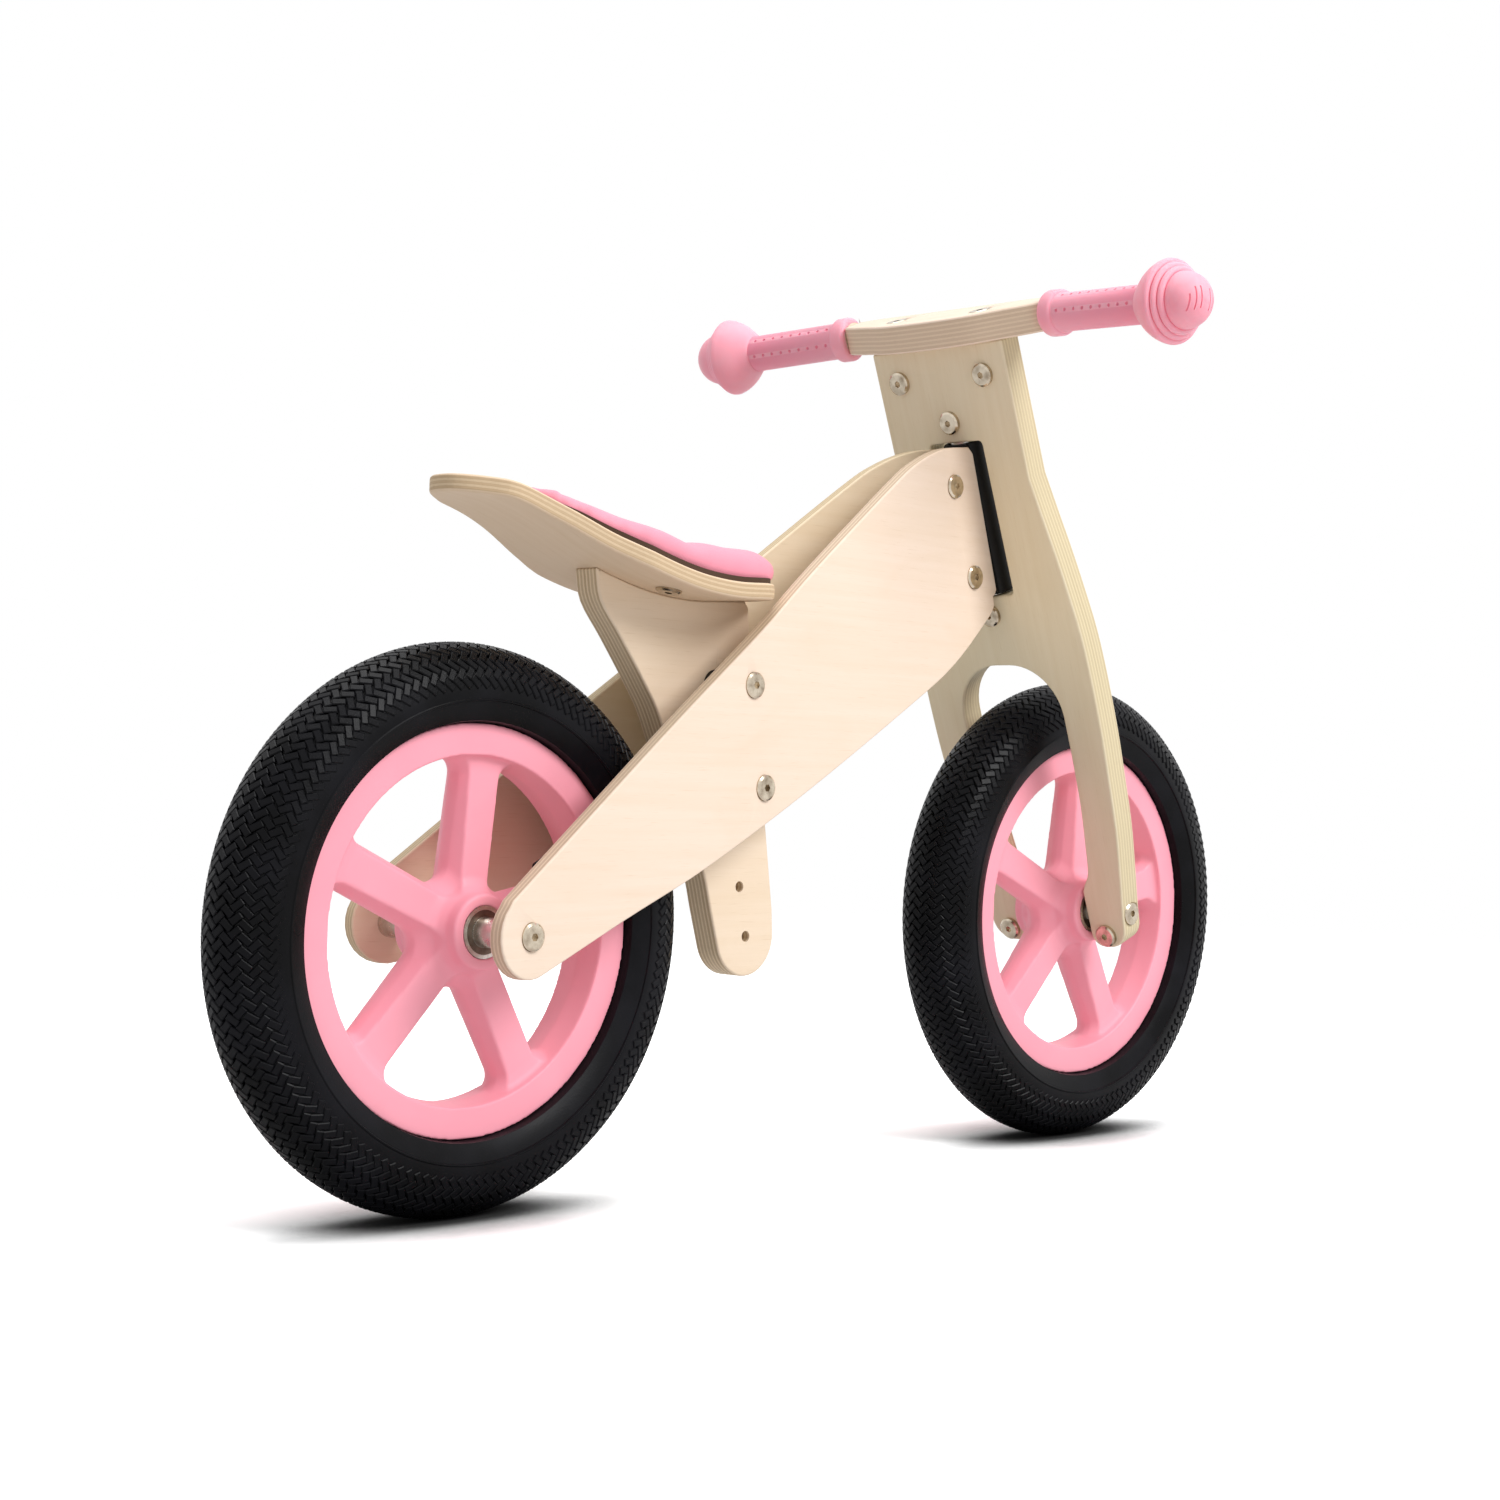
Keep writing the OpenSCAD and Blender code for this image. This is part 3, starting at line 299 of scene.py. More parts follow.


# dipped soft PVC: dull skin that lets light a few millimetres in, with painted shade in its hollows
def softRubber(name, colour, shade):
    mat, tree, shader = newMaterial(name)
    place = addNode(tree, "TexCoord", out="Object")
    cloud = addNode(tree, "TexNoise", {0: place, "Scale": 45.0, "Detail": 3.0})        # 20 mm clouds
    skin = addNode(tree, "TexNoise", {0: place, "Scale": 900.0, "Detail": 2.0})        # 1 mm skin
    # painted shade: the colour darkens where the surface curves inwards, in dimples, strokes and grooves
    hollowShade = addNode(tree, "MapRange", {0: addNode(tree, "NewGeometry", out="Pointiness"),
                                        1: 0.44, 2: 0.5, 3: 0.9, 4: 0.0})
    tinge = addNode(tree, "MapRange", {0: cloud, 1: 0.35, 2: 0.75, 3: 0.0, 4: 0.35})
    tinge = addNode(tree, "Math", {0: tinge, 1: hollowShade}, operation="MAXIMUM")
    tree.links.new(addNode(tree, "Mix", {0: tinge, 6: hexColour(colour), 7: hexColour(shade)}, 2,
                           data_type="RGBA"), shader.inputs["Base Color"])
    tree.links.new(addNode(tree, "MapRange", {0: cloud, 1: 0.3, 2: 0.7, 3: 0.45, 4: 0.55}),
                   shader.inputs["Roughness"])
    shader.inputs["IOR"].default_value = 1.5
    shader.inputs["Specular IOR Level"].default_value = 0.3
    shader.inputs["Subsurface Weight"].default_value = 0.5
    shader.inputs["Subsurface Radius"].default_value = (1.0, 0.4, 0.45)
    shader.inputs["Subsurface Scale"].default_value = 0.008
    relief = addNode(tree, "Bump", {"Height": skin, "Strength": 0.15, "Distance": 0.0002})
    tree.links.new(relief, shader.inputs["Normal"])
    return mat


# cured tyre rubber: near black, faintly blue where it catches the light, each tread bar finely ribbed
def tyreRubber(name, colour, dust):
    mat, tree, shader = newMaterial(name)
    coords = addNode(tree, "TexCoord").node
    place = coords.outputs["Object"]
    cloud = addNode(tree, "TexNoise", {0: place, "Scale": 30.0, "Detail": 5.0})        # 30 mm clouds
    grain = addNode(tree, "TexNoise", {0: place, "Scale": 1100.0, "Detail": 3.0})      # 0.9 mm grain
    dusty = addNode(tree, "MapRange", {0: cloud, 1: 0.4, 2: 0.8, 3: 0.0, 4: 0.6})
    tree.links.new(addNode(tree, "Mix", {0: dusty, 6: hexColour(colour), 7: hexColour(dust)}, 2,
                           data_type="RGBA"), shader.inputs["Base Color"])
    tree.links.new(addNode(tree, "MapRange", {0: cloud, 1: 0.3, 2: 0.7, 3: 0.26, 4: 0.4}),
                   shader.inputs["Roughness"])
    shader.inputs["Specular IOR Level"].default_value = 0.1
    # one half of each bar is plain, the other has three ribs
    across = addNode(tree, "SeparateXYZ", {0: coords.outputs["UV"]})
    ribs = addNode(tree, "Math", {0: across, 1: 14.0}, operation="MULTIPLY")
    ribs = addNode(tree, "Math", {0: ribs, 1: 1.0}, operation="PINGPONG")
    ribs = addNode(tree, "MapRange", {0: ribs, 1: 0.1, 2: 0.5, 3: 0.0, 4: 1.0})
    ribbed = addNode(tree, "Math", {0: across, 1: 0.5}, operation="GREATER_THAN")
    plain = addNode(tree, "Math", {0: 1.0, 1: ribbed}, operation="SUBTRACT")
    height = addNode(tree, "Math", {0: ribs, 1: ribbed, 2: plain}, operation="MULTIPLY_ADD")
    height = addNode(tree, "Math", {0: grain, 1: 0.2, 2: height}, operation="MULTIPLY_ADD")
    relief = addNode(tree, "Bump", {"Height": height, "Strength": 0.8, "Distance": 0.0005})
    tree.links.new(relief, shader.inputs["Normal"])
    return mat


# pressed or turned steel under bright nickel: warm mirror with fine scratches and soft dark patches, partly
# stains and partly painted reflection
def platedSteel(name, colour, stainAndReflectionColour, rough):
    mat, tree, shader = newMaterial(name)
    place = addNode(tree, "TexCoord", out="Object")
    stain = addNode(tree, "TexNoise", {0: place, "Scale": 160.0, "Detail": 4.0})         # 6 mm stains
    scratch = addNode(tree, "TexNoise", {0: place, "Scale": 2000.0, "Detail": 2.0})      # 0.5 mm scratches
    # partly stains, partly painted reflection: dark patches standing in for the dark reflections the white
    # surroundings lack
    stainAndReflection = addNode(tree, "MapRange", {0: stain, 1: 0.4, 2: 0.75, 3: 0.0, 4: 0.8})
    tree.links.new(addNode(tree, "Mix", {0: stainAndReflection, 6: hexColour(colour), 7: hexColour(stainAndReflectionColour)}, 2,
                           data_type="RGBA"), shader.inputs["Base Color"])
    tree.links.new(addNode(tree, "MapRange", {0: stain, 1: 0.3, 2: 0.75, 3: rough, 4: rough + 0.12}),
                   shader.inputs["Roughness"])
    shader.inputs["Metallic"].default_value = 1.0
    relief = addNode(tree, "Bump", {"Height": scratch, "Strength": 0.08, "Distance": 0.0001})
    tree.links.new(relief, shader.inputs["Normal"])
    return mat


# embossed vinyl leathercloth: fine pebble grain in a satin skin
def leathercloth(name, colour, shade):
    mat, tree, shader = newMaterial(name)
    place = addNode(tree, "TexCoord", out="Object")
    # 1 mm pebbles, and clouds about 30 mm across
    pebble = addNode(tree, "TexVoronoi", {0: place, "Scale": 1000.0}, feature="DISTANCE_TO_EDGE")
    cloud = addNode(tree, "TexNoise", {0: place, "Scale": 35.0, "Detail": 3.0})
    tinge = addNode(tree, "MapRange", {0: cloud, 1: 0.35, 2: 0.75, 3: 0.0, 4: 0.4})
    # painted shade: darker colour in the grooves between the pebbles
    grooveShade = addNode(tree, "MapRange", {0: pebble, 1: 0.0, 2: 0.2, 3: 0.35, 4: 0.0})
    tinge = addNode(tree, "Math", {0: tinge, 1: grooveShade}, operation="MAXIMUM")
    tree.links.new(addNode(tree, "Mix", {0: tinge, 6: hexColour(colour), 7: hexColour(shade)}, 2,
                           data_type="RGBA"), shader.inputs["Base Color"])
    tree.links.new(addNode(tree, "MapRange", {0: pebble, 1: 0.0, 2: 0.3, 3: 0.62, 4: 0.48}),
                   shader.inputs["Roughness"])
    shader.inputs["Specular IOR Level"].default_value = 0.25
    relief = addNode(tree, "Bump", {"Height": pebble, "Strength": 0.3, "Distance": 0.0002})
    tree.links.new(relief, shader.inputs["Normal"])
    return mat


materials = {
    "rim": mouldedPlastic("moulded pink polypropylene", "#fda8b8", "#fa9fb0", 0.44),
    "grip": softRubber("dipped pink PVC", "#ffafbe", "#f58ba2"),
    "tyre": tyreRubber("cured black tyre rubber", "#060608", "#1a1a20"),
    "nylon": mouldedPlastic("moulded black nylon", "#080605", "#0e0b0a", 0.6),
    "butyl": tyreRubber("moulded butyl rubber", "#121214", "#1c1c1e"),
    "nickel": platedSteel("nickel-plated steel", "#d9ccb8", "#7d6b55", 0.14),
    "steel": platedSteel("turned bright steel", "#d6d2cb", "#a49c92", 0.24),
    "shield": platedSteel("pressed steel shield", "#7a6e63", "#4a4038", 0.3),
    "brass": platedSteel("turned brass", "#c9a25e", "#94733b", 0.3),
    "leathercloth": leathercloth("embossed pink vinyl leathercloth", "#faa0b2", "#ee879c"),
    "hardboard": mouldedPlastic("pressed hardboard", "#4a3424", "#3c2a1d", 0.7),
}
rake, converge, half = bike["rake"], bike["converge"], bike["rearHalf"]
rightFrame = Matrix.Translation((rearAxle.x, -half, wheelR)) @ turned(converge, "Z") @ turned(-pi / 2, "X")
leftFrame = Matrix.Translation((rearAxle.x, half, wheelR)) @ turned(-converge, "Z") @ turned(pi / 2, "X")
postFrame = Matrix.Translation((0, bike["boardT"] / 2, 0)) @ turned(pi / 2, "X")
forkBoardFrame = forkFrame @ Matrix.Translation((-bike["boardT"] / 2, 0, 0)) @ turned(pi / 2, "Y")
barFrame = forkFrame @ Matrix.Translation((0, 0, bike["forkTop"])) @ turned(pi / 2, "Z")
panelT, boardT = bike["panelT"], bike["boardT"]
plywoods = {
    # node: name, the board's own frame, thickness, plies, contrast of its cut edge, tint; contrast and tint
    # are set by how each board is lit, as painted light and shade
    "right_side_panel": birchPly("birch plywood 9 mm, right", rightFrame, panelT, 7, 0.6, "#ffffff"),
    "left_side_panel": birchPly("birch plywood 9 mm, left", leftFrame, panelT, 7, 0.6, "#fbfff2"),
    "seat_post": birchPly("birch plywood 18 mm, post", postFrame, boardT, 13, 0.8, "#fffff8"),
    "fork_board": birchPly("birch plywood 18 mm, fork", forkBoardFrame, boardT, 13, 0.4, "#f8fff2"),
    "handlebar_board": birchPly("birch plywood 18 mm, handlebar", barFrame, boardT, 13, 0.35, "#ffffff"),
    "seat_board": birchPly("birch plywood 9 mm, bent", None, bike["seatT"], 7, 0.55, "#f3ede0"),
}
finishes = {
    "nylon": ("steering_block", "post_spacers", "rear_valve_cap", "front_valve_cap"),
    "butyl": ("rear_inner_tube", "front_inner_tube"),
    "shield": ("rear_bearing_seals", "front_bearing_seals"),
    "brass": ("rear_valve", "front_valve"),
    "nickel": ("post_bolts", "post_nuts", "nose_bolts", "nose_nuts", "pad_bolts", "rod_lock_bolts",
               "rod_lock_nuts", "leg_bolts", "leg_nuts", "handlebar_bolts", "handlebar_cross_nuts",
               "rear_axle_bolt", "rear_axle_nut", "front_axle_bolt", "front_axle_nut",
               "rear_bearing_balls", "front_bearing_balls"),
    "steel": ("steering_rod", "thrust_washers", "seat_screws", "pad_nuts",
              "rear_axle_spacers", "front_axle_spacers", "rear_hub_sleeve", "front_hub_sleeve",
              "rear_inner_rings", "front_inner_rings", "rear_outer_rings", "front_outer_rings"),
    "hardboard": ("pad_base",),
}
for finish, names in finishes.items():
    paint(materials[finish], *names)
print("finishes assigned")


boards = {
    # node: rounding of its outline, body
    "right_side_panel": (0.0012, "frame"),
    "left_side_panel": (0.0012, "frame"),
    "seat_post": (0.0014, "frame"),
    "seat_board": (0.0020, "frame"),
    "fork_board": (0.0015, "fork"),
    "handlebar_board": (0.0016, "fork"),
}
smallest = 0.02        # loops less than this across are bolt holes and keep a crisp edge
# the bent seat board's underside, in mm ahead of and above the rear axle
seatUnder = [(-22, 231.9), (10, 228.2), (40, 218.2), (70, 205.2), (100, 195),
             (130, 188.2), (160, 185.5), (190, 186.7), (218, 188.3)]


def edgeLoops(edges):
    groups, seen = [], set()
    chosen = set(edges)
    for start in edges:
        if start in seen:
            continue
        group, queue = [], [start]
        seen.add(start)
        while queue:
            edge = queue.pop()
            group.append(edge)
            for vert in edge.verts:
                for other in vert.link_edges:
                    if other in chosen and other not in seen:
                        seen.add(other)
                        queue.append(other)
        groups.append(group)
    return groups


def spread(group):
    points = [vert.co for edge in group for vert in edge.verts]
    return max(max(p[i] for p in points) - min(p[i] for p in points) for i in range(3))


# length and depth along the bend, for the grain and the plies
def mapBentBoard(piece, under):
    lengths = [0.0]
    for a, b in zip(under, under[1:]):
        lengths.append(lengths[-1] + (b - a).length)
    layer = piece.data.uv_layers.new(name="bend")
    for face in piece.data.polygons:
        centre = Vector((face.center.x - rearAxle.x, face.center.z - wheelR))
        near = min(range(len(under) - 1), key=lambda i: (centre - (under[i] + under[i + 1]) / 2).length)
        along = (under[near + 1] - under[near]).normalized()
        rise = Vector((-along.y, along.x))
        for index in face.loop_indices:
            co = piece.data.vertices[piece.data.loops[index].vertex_index].co
            spot = Vector((co.x - rearAxle.x, co.z - wheelR)) - under[near]
            layer.data[index].uv = (lengths[near] + spot.dot(along), spot.dot(rise))


def makeBoards():
    under = curvePoints([Vector(p) / 1000 for p in seatUnder], 5)
    for node, (radius, body) in boards.items():
        bm = cadCopy(node)
        bmesh.ops.dissolve_limit(bm, angle_limit=radians(0.2), verts=bm.verts, edges=bm.edges)
        sharp = [e for e in bm.edges if len(e.link_faces) == 2 and e.calc_face_angle(0) > radians(50)]
        rounded = [e for group in edgeLoops(sharp) if spread(group) > smallest for e in group]
        bmesh.ops.bevel(bm, geom=rounded, offset=radius, offset_type="OFFSET", segments=3, profile=0.5,
                        affect="EDGES", clamp_overlap=False, material=-1)
        if node == "seat_board":      # cuts across its flanks, so that the plies can follow the bend
            for a, b in zip(under, under[1:]):
                flanks = [f for f in bm.faces if abs(f.normal.y) > 0.3]
                rims = list({part for f in flanks for part in f.edges[:] + f.verts[:]})
                bmesh.ops.bisect_plane(bm, geom=flanks + rims, dist=0.0003,
                                       plane_co=(rearAxle.x + b.x, 0, wheelR + b.y),
                                       plane_no=(b.x - a.x, 0, b.y - a.y))
            bmesh.ops.dissolve_degenerate(bm, dist=0.0001, edges=bm.edges)
        bmesh.ops.triangulate(bm, faces=[f for f in bm.faces if len(f.verts) > 4])
        piece = finishMesh(node + "_rounded", bm, plywoods[node], 32)
        flat = piece.modifiers.new("flat faces", "WEIGHTED_NORMAL")
        flat.keep_sharp, flat.weight = True, 50
        if node == "seat_board":
            mapBentBoard(piece, under)
        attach(piece, body)
        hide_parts(node)


makeBoards()
print("boards made")


tyre = {
    "crown": wheelR, "halfW": 0.0256, "steps": 144,
    "rimR": 0.110, "rimHalfW": 0.0152, "lipIn": 0.0116, "foot": 0.0961,      # where it sits in the rim
    "footAngle": radians(38), "footGap": 0.0012,
    "barsRound": 140, "rows": 7, "rowPitch": 0.0051, "lean": radians(40),    # rows on each side
    "barH": 0.0016, "barL": 0.0071, "barW": 0.0039, "barEdge": 0.0005,
    "fullRows": 4, "sunk": 0.0009,      # the rows past the full ones sink by this much to the last
}


def makeTyre(name, node, body, place):
    foot = sin(tyre["footAngle"])
    centre = (tyre["rimR"] + tyre["footGap"] + tyre["crown"] * foot) / (1 + foot)
    halfH, halfW = tyre["crown"] - centre, tyre["halfW"]

    def section(a, drop):
        return (centre + (halfH - drop) * sin(a), (halfW - drop) * cos(a))

    # casing: sunk below the bars, with a thin ring moulded on each lower sidewall
    drops = [(-38, 0), (-34, 0.3), (-24, 0.6), (-13, 0.8), (-12, 0.1), (-10.6, 0.1), (-9.6, 0.8), (-4, 1.0),
             (2, 1.5)]      # (degrees above the widest point, mm below the full size)
    outline = [section(radians(a), d / 1000) for a, d in drops]
    outline += [section(radians(a), tyre["barH"]) for a in range(8, 173, 6)]
    outline += [section(radians(180 - a), d / 1000) for a, d in reversed(drops)]
    low, w, lip = tyre["rimR"] + 0.0003, tyre["rimHalfW"], tyre["lipIn"]
    outline += [(low, -w), (low, -lip), (tyre["foot"], -lip), (tyre["foot"], lip), (low, lip), (low, w)]
    casing = bmesh.new()
    turnedBody(casing, outline, tyre["steps"])
    # woven tread: rows of short bars leaning to one side and the other in turn
    tread = bmesh.new()
    layer = tread.loops.layers.uv.new("bar")
    step = 2 * pi / tyre["barsRound"]
    for row in range(-tyre["rows"], tyre["rows"] + 1):
        a = pi / 2 + row * tyre["rowPitch"] / halfH
        past = max(0, abs(row) - tyre["fullRows"]) / (tyre["rows"] - tyre["fullRows"])
        r, z = section(a, tyre["barH"] / 2 + past * tyre["sunk"])
        out = Vector((halfW * sin(a), 0, halfH * cos(a))).normalized()
        down = Vector((halfH * cos(a), 0, -halfW * sin(a))).normalized()
        lean = tyre["lean"] * (1 if row % 2 else -1)
        long = Vector((0, 1, 0)) * sin(lean) + down * cos(lean)
        wide = long.cross(out)
        spot = Matrix((wide, long, out)).transposed().to_4x4()
        spot.translation = (r, 0, z)
        spot = turned(step * (0.5 if row % 2 else 0), "Z") @ spot
        size = Matrix.Diagonal((tyre["barW"], tyre["barL"], tyre["barH"], 1))
        made = bmesh.ops.create_cube(tread, size=1, matrix=spot @ size)["verts"]
        back = (spot @ size).inverted()
        top = [e for v in made for e in v.link_edges if all((back @ u.co).z > 0.4 for u in e.verts)]
        bmesh.ops.bevel(tread, geom=list(set(top)), offset=tyre["barEdge"], offset_type="OFFSET",
                        segments=1, profile=0.5, affect="EDGES", material=-1)
        for face in tread.faces[:]:      # tagged faces belong to the bars before this one
            if face.tag:
                continue
            face.tag = True
            for loop in face.loops:
                local = back @ loop.vert.co
                loop[layer].uv = (local.x + 0.5, local.y + 0.5)
    bmesh.ops.spin(tread, geom=tread.verts[:] + tread.edges[:] + tread.faces[:], cent=(0, 0, 0),
                   axis=(0, 0, 1), angle=2 * pi - step, steps=tyre["barsRound"] - 1, use_duplicate=True)
    joinInto(casing, tread)
    casing.transform(place)
    piece = finishMesh(name, casing, materials["tyre"], 30)
    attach(piece, body)
    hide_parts(node)


makeTyre("rear_tyre_treaded", "rear_tyre", "rear_wheel", rearHub)
makeTyre("front_tyre_treaded", "front_tyre", "front_wheel", frontHub)
print("tyres made")


rim = {
    "outR": 0.110, "halfW": 0.0152, "inR": 0.0915, "wall": 0.0036,
    "hubR": 0.0203, "hubHalf": 0.026, "boreR": 0.0141, "sleeveR": 0.0121, "boreDepth": 0.0085,
    "webOut": 0.0094, "webIn": 0.0125,      # half the spokes' depth, at the channel and at the hub
    "spokes": 5, "spokeHalfW": 0.0134, "first": radians(11),
    # a window's wall: (height, how far it leans back)
    "draft": ((0.0, 0.0), (0.004, 0.0005), (0.0122, 0.0046), (0.03, 0.0070)),
    "outFillet": 0.0085, "inFillet": 0.0115,
    "hubSteps": 96, "channelSteps": 160,
    "voxel": 0.00095, "smoothing": 7, "kept": 0.33,      # remeshing, and the share of faces kept
}


# one window between two spokes, its wall set back by grow
def windowOutline(grow):
    step = pi / rim["spokes"]
    w, r = rim["spokeHalfW"] - grow, rim["inR"] + 0.0002 + grow * 0.35
    fo, fi = rim["outFillet"], rim["inFillet"]
    outA = step - math.asin((w + fo) / (r - fo))
    side = [(r * cos(outA * i / 6), r * sin(outA * i / 6)) for i in range(6)]
    for i in range(9):
        a = outA + (step + pi / 2 - outA) * i / 8
        side.append(((r - fo) * cos(outA) + fo * cos(a), (r - fo) * sin(outA) + fo * sin(a)))
    c = (w + fi) / sin(step)
    for i in range(9):
        a = step + pi / 2 + (pi / 2 - step) * i / 8
        side.append((c + fi * cos(a), fi * sin(a)))
    return side + [(x, -y) for x, y in reversed(side[1:-1])]


def makeRimMaster():
    h, w, r, t = rim["hubHalf"], rim["halfW"], rim["inR"], rim["wall"]
    hub, bore, mid = rim["hubR"], rim["boreR"], rim["sleeveR"]
    webO, webI, depth = rim["webOut"], rim["webIn"], rim["boreDepth"]
    flank = [(bore, h), (hub - 0.001, h), (hub, h - 0.001), (hub + 0.0006, 0.019),
             (hub + 0.0035, webI + 0.0022), (hub + 0.008, webI),
             (r - 0.006, webO + 0.0004), (r - 0.001, webO + 0.0010), (r + 0.002, webO + 0.0028)]
    web = bmesh.new()
    turnedBody(web, [(mid, h - depth), (bore, h - depth)] + flank + [(x, -z) for x, z in reversed(flank)]
               + [(bore, depth - h), (mid, depth - h)], rim["hubSteps"])
    webPiece = finishMesh("web", web, materials["rim"])
    # one window drawn at several heights and bridged, then copied round
    windows = bmesh.new()
    levels = [(-z, grow) for z, grow in reversed(rim["draft"][1:])] + list(rim["draft"])
    firstTurn = turned(rim["first"] + pi / rim["spokes"], "Z")
    loops = []
    for z, grow in levels:
        verts = [windows.verts.new(firstTurn @ Vector((x, y, z))) for x, y in windowOutline(grow)]
        loops.append([windows.edges.new(pair) for pair in zip(verts, verts[1:] + verts[:1])])
    for lower, upper in zip(loops, loops[1:]):
        bmesh.ops.bridge_loops(windows, edges=lower + upper)
    bmesh.ops.edgeloop_fill(windows, edges=loops[0] + loops[-1])
    share = 2 * pi / rim["spokes"]
    bmesh.ops.spin(windows, geom=windows.verts[:] + windows.edges[:] + windows.faces[:], cent=(0, 0, 0),
                   axis=(0, 0, 1), angle=2 * pi - share, steps=rim["spokes"] - 1, use_duplicate=True)
    cutAway(webPiece, windows)
    whole = bmesh.new()
    whole.from_mesh(webPiece.data)
    bpy.data.objects.remove(webPiece)
    channel = bmesh.new()
    turnedBody(channel, [(r + 0.0016, -w), (rim["outR"], -w), (rim["outR"], t - w), (r + t + 0.0006, t - w),
                         (r + t + 0.0006, w - t), (rim["outR"], w - t), (rim["outR"], w), (r + 0.0016, w),
                         (r - 0.0004, 0)], rim["channelSteps"])
    joinInto(whole, channel)
    piece = finishMesh("rim", whole, materials["rim"])
    fuse = piece.modifiers.new("fuse", "REMESH")
    fuse.mode, fuse.voxel_size, fuse.use_smooth_shade = "VOXEL", rim["voxel"], True
    soften = piece.modifiers.new("soften", "SMOOTH")
    soften.factor, soften.iterations = 0.5, rim["smoothing"]
    thin = piece.modifiers.new("thin", "DECIMATE")
    thin.ratio = rim["kept"]
    settle(piece)
    return piece


def makeRims():
    master = makeRimMaster()
    for name, node, body, place in (("rear_rim_moulded", "rear_rim", "rear_wheel", rearHub),
                                    ("front_rim_moulded", "front_rim", "front_wheel", frontHub)):
        bm = bmesh.new()
        bm.from_mesh(master.data)
        bm.transform(place)
        piece = finishMesh(name, bm, materials["rim"], 60)
        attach(piece, body)
        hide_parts(node)
    bpy.data.objects.remove(master)


makeRims()
print("rims made")


grip = {
    "bore": 0.0091, "start": 0.0226, "collarR": 0.0145, "collarL": 0.011, "tubeR": 0.0119,
    "capR": 0.0255, "end": 0.208 / cos(bike["barSweep"]) - bike["armStart"], "capL": 0.027,
    "neckL": 0.0205, "collarRound": 0.0026, "boreEnd": 0.012, "steps": 96,
    "ridges": 3, "ridgeStep": 0.0026, "ridgePitch": 0.0033,
    "dimples": 9, "firstDimple": 0.0045, "dimplePitch": 0.0074, "dimpleR": 0.0013, "dimpleOut": 0.0003,
    # strokes on the nose: (off the axis, middle, length)
    "strokes": ((-0.0036, 0.0006, 0.0130), (-0.0070, -0.0002, 0.0135), (-0.0104, -0.0030, 0.0100)),
    "strokeW": 0.0009, "strokeD": 0.0007, "strokeLean": radians(18),
}


# dimpleTurns: how far above the rearward side each row of dimples stands
def makeGrip(name, node, side, dimpleTurns):
    capAt = grip["end"] - grip["capL"]
    start, length, tube, cap = grip["start"], grip["collarL"], grip["tubeR"], grip["capR"]
    soft = grip["collarRound"]
    outline = [(grip["bore"], start), (grip["collarR"] - soft, start)]
    for a in range(-75, 76, 15):
        z = start + (soft if a <= 0 else length - soft) + soft * sin(radians(a))
        outline.append((grip["collarR"] - soft + soft * cos(radians(a)), z))
    outline += [(tube + 0.0008, start + length), (tube, start + length + 0.0008)]
    outline += [tuple(p) for p in curvePoints([Vector(p) for p in (
        (tube, capAt - grip["neckL"]), (tube + 0.0016, capAt - 0.0192),
        (tube + 0.0050, capAt - 0.0150), (tube + 0.0087, capAt - 0.0105),
        (cap - 0.0022, capAt - 0.0060), (cap - 0.0006, capAt - 0.0022))], 4)]
    for k in range(grip["ridges"]):      # rounded ridges, one inside the other
        r, z = cap - grip["ridgeStep"] * k, capAt + grip["ridgePitch"] * k
        outline += [(r, z), (r - 0.0001, z + 0.0010), (r - 0.0009, z + 0.0021), (r - 0.0022, z + 0.0026),
                    (r - 0.0033, z + 0.0024)]
    nose = curvePoints([Vector(p) for p in (
        (cap - 0.0083, capAt + 0.0100), (cap - 0.0088, capAt + 0.0135), (cap - 0.0106, capAt + 0.0180),
        (cap - 0.0140, capAt + 0.0221), (cap - 0.0188, capAt + 0.0254), (0.0010, grip["end"]))], 5)
    outline += [tuple(p) for p in nose]
    boreEnd = capAt - grip["boreEnd"]
    outline += [(0.0, grip["end"]), (0.0, boreEnd), (grip["bore"], boreEnd)]
    bm = bmesh.new()
    turnedBody(bm, outline, grip["steps"])
    piece = finishMesh(name, bm, materials["grip"], 50)
    cutters = bmesh.new()
    dimpleAt = tube + grip["dimpleOut"]
    for turn in dimpleTurns:
        for facing in (0, pi):
            a = pi + side * (turn + rake) + facing
            for k in range(grip["dimples"]):
                z = start + length + grip["firstDimple"] + k * grip["dimplePitch"]
                spot = Matrix.Translation((dimpleAt * cos(a), dimpleAt * sin(a), z))
                bmesh.ops.create_icosphere(cutters, subdivisions=2, radius=grip["dimpleR"], matrix=spot)
    for facing in (0, pi):      # slanted strokes pressed into the nose of the cap, as deep all along
        for off, mid, long in grip["strokes"]:
            stroke = bmesh.new()
            size = Matrix.Diagonal((grip["strokeW"], long, 2 * grip["strokeD"], 1))
            bmesh.ops.create_cube(stroke, size=1, matrix=Matrix.Translation((off, mid, 0)) @ size)
            lengthwise = [e for e in stroke.edges if abs(e.verts[0].co.y - e.verts[1].co.y) > long / 2]
            bmesh.ops.subdivide_edges(stroke, edges=lengthwise, cuts=9)
            for vert in stroke.verts:
                r = math.hypot(vert.co.x, vert.co.y)
                outer, inner = next((a, b) for a, b in zip(nose, nose[1:]) if b.x <= max(r, 0.0011))
                vert.co.z += inner.y + (outer.y - inner.y) * (r - inner.x) / (outer.x - inner.x)
            stroke.transform(turned(facing + side * grip["strokeLean"], "Z"))
            joinInto(cutters, stroke)
    cutAway(piece, cutters)
    piece.data.transform(armFrame(side))
    piece.data.polygons.foreach_set("use_smooth", [True] * len(piece.data.polygons))
    piece.data.set_sharp_from_angle(angle=radians(50))
    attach(piece, "fork")
    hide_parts(node)


makeGrip("left_grip_moulded", "left_grip", 1, (radians(-21), radians(33)))
makeGrip("right_grip_moulded", "right_grip", -1, (radians(-4), radians(52)))
print("grips made")


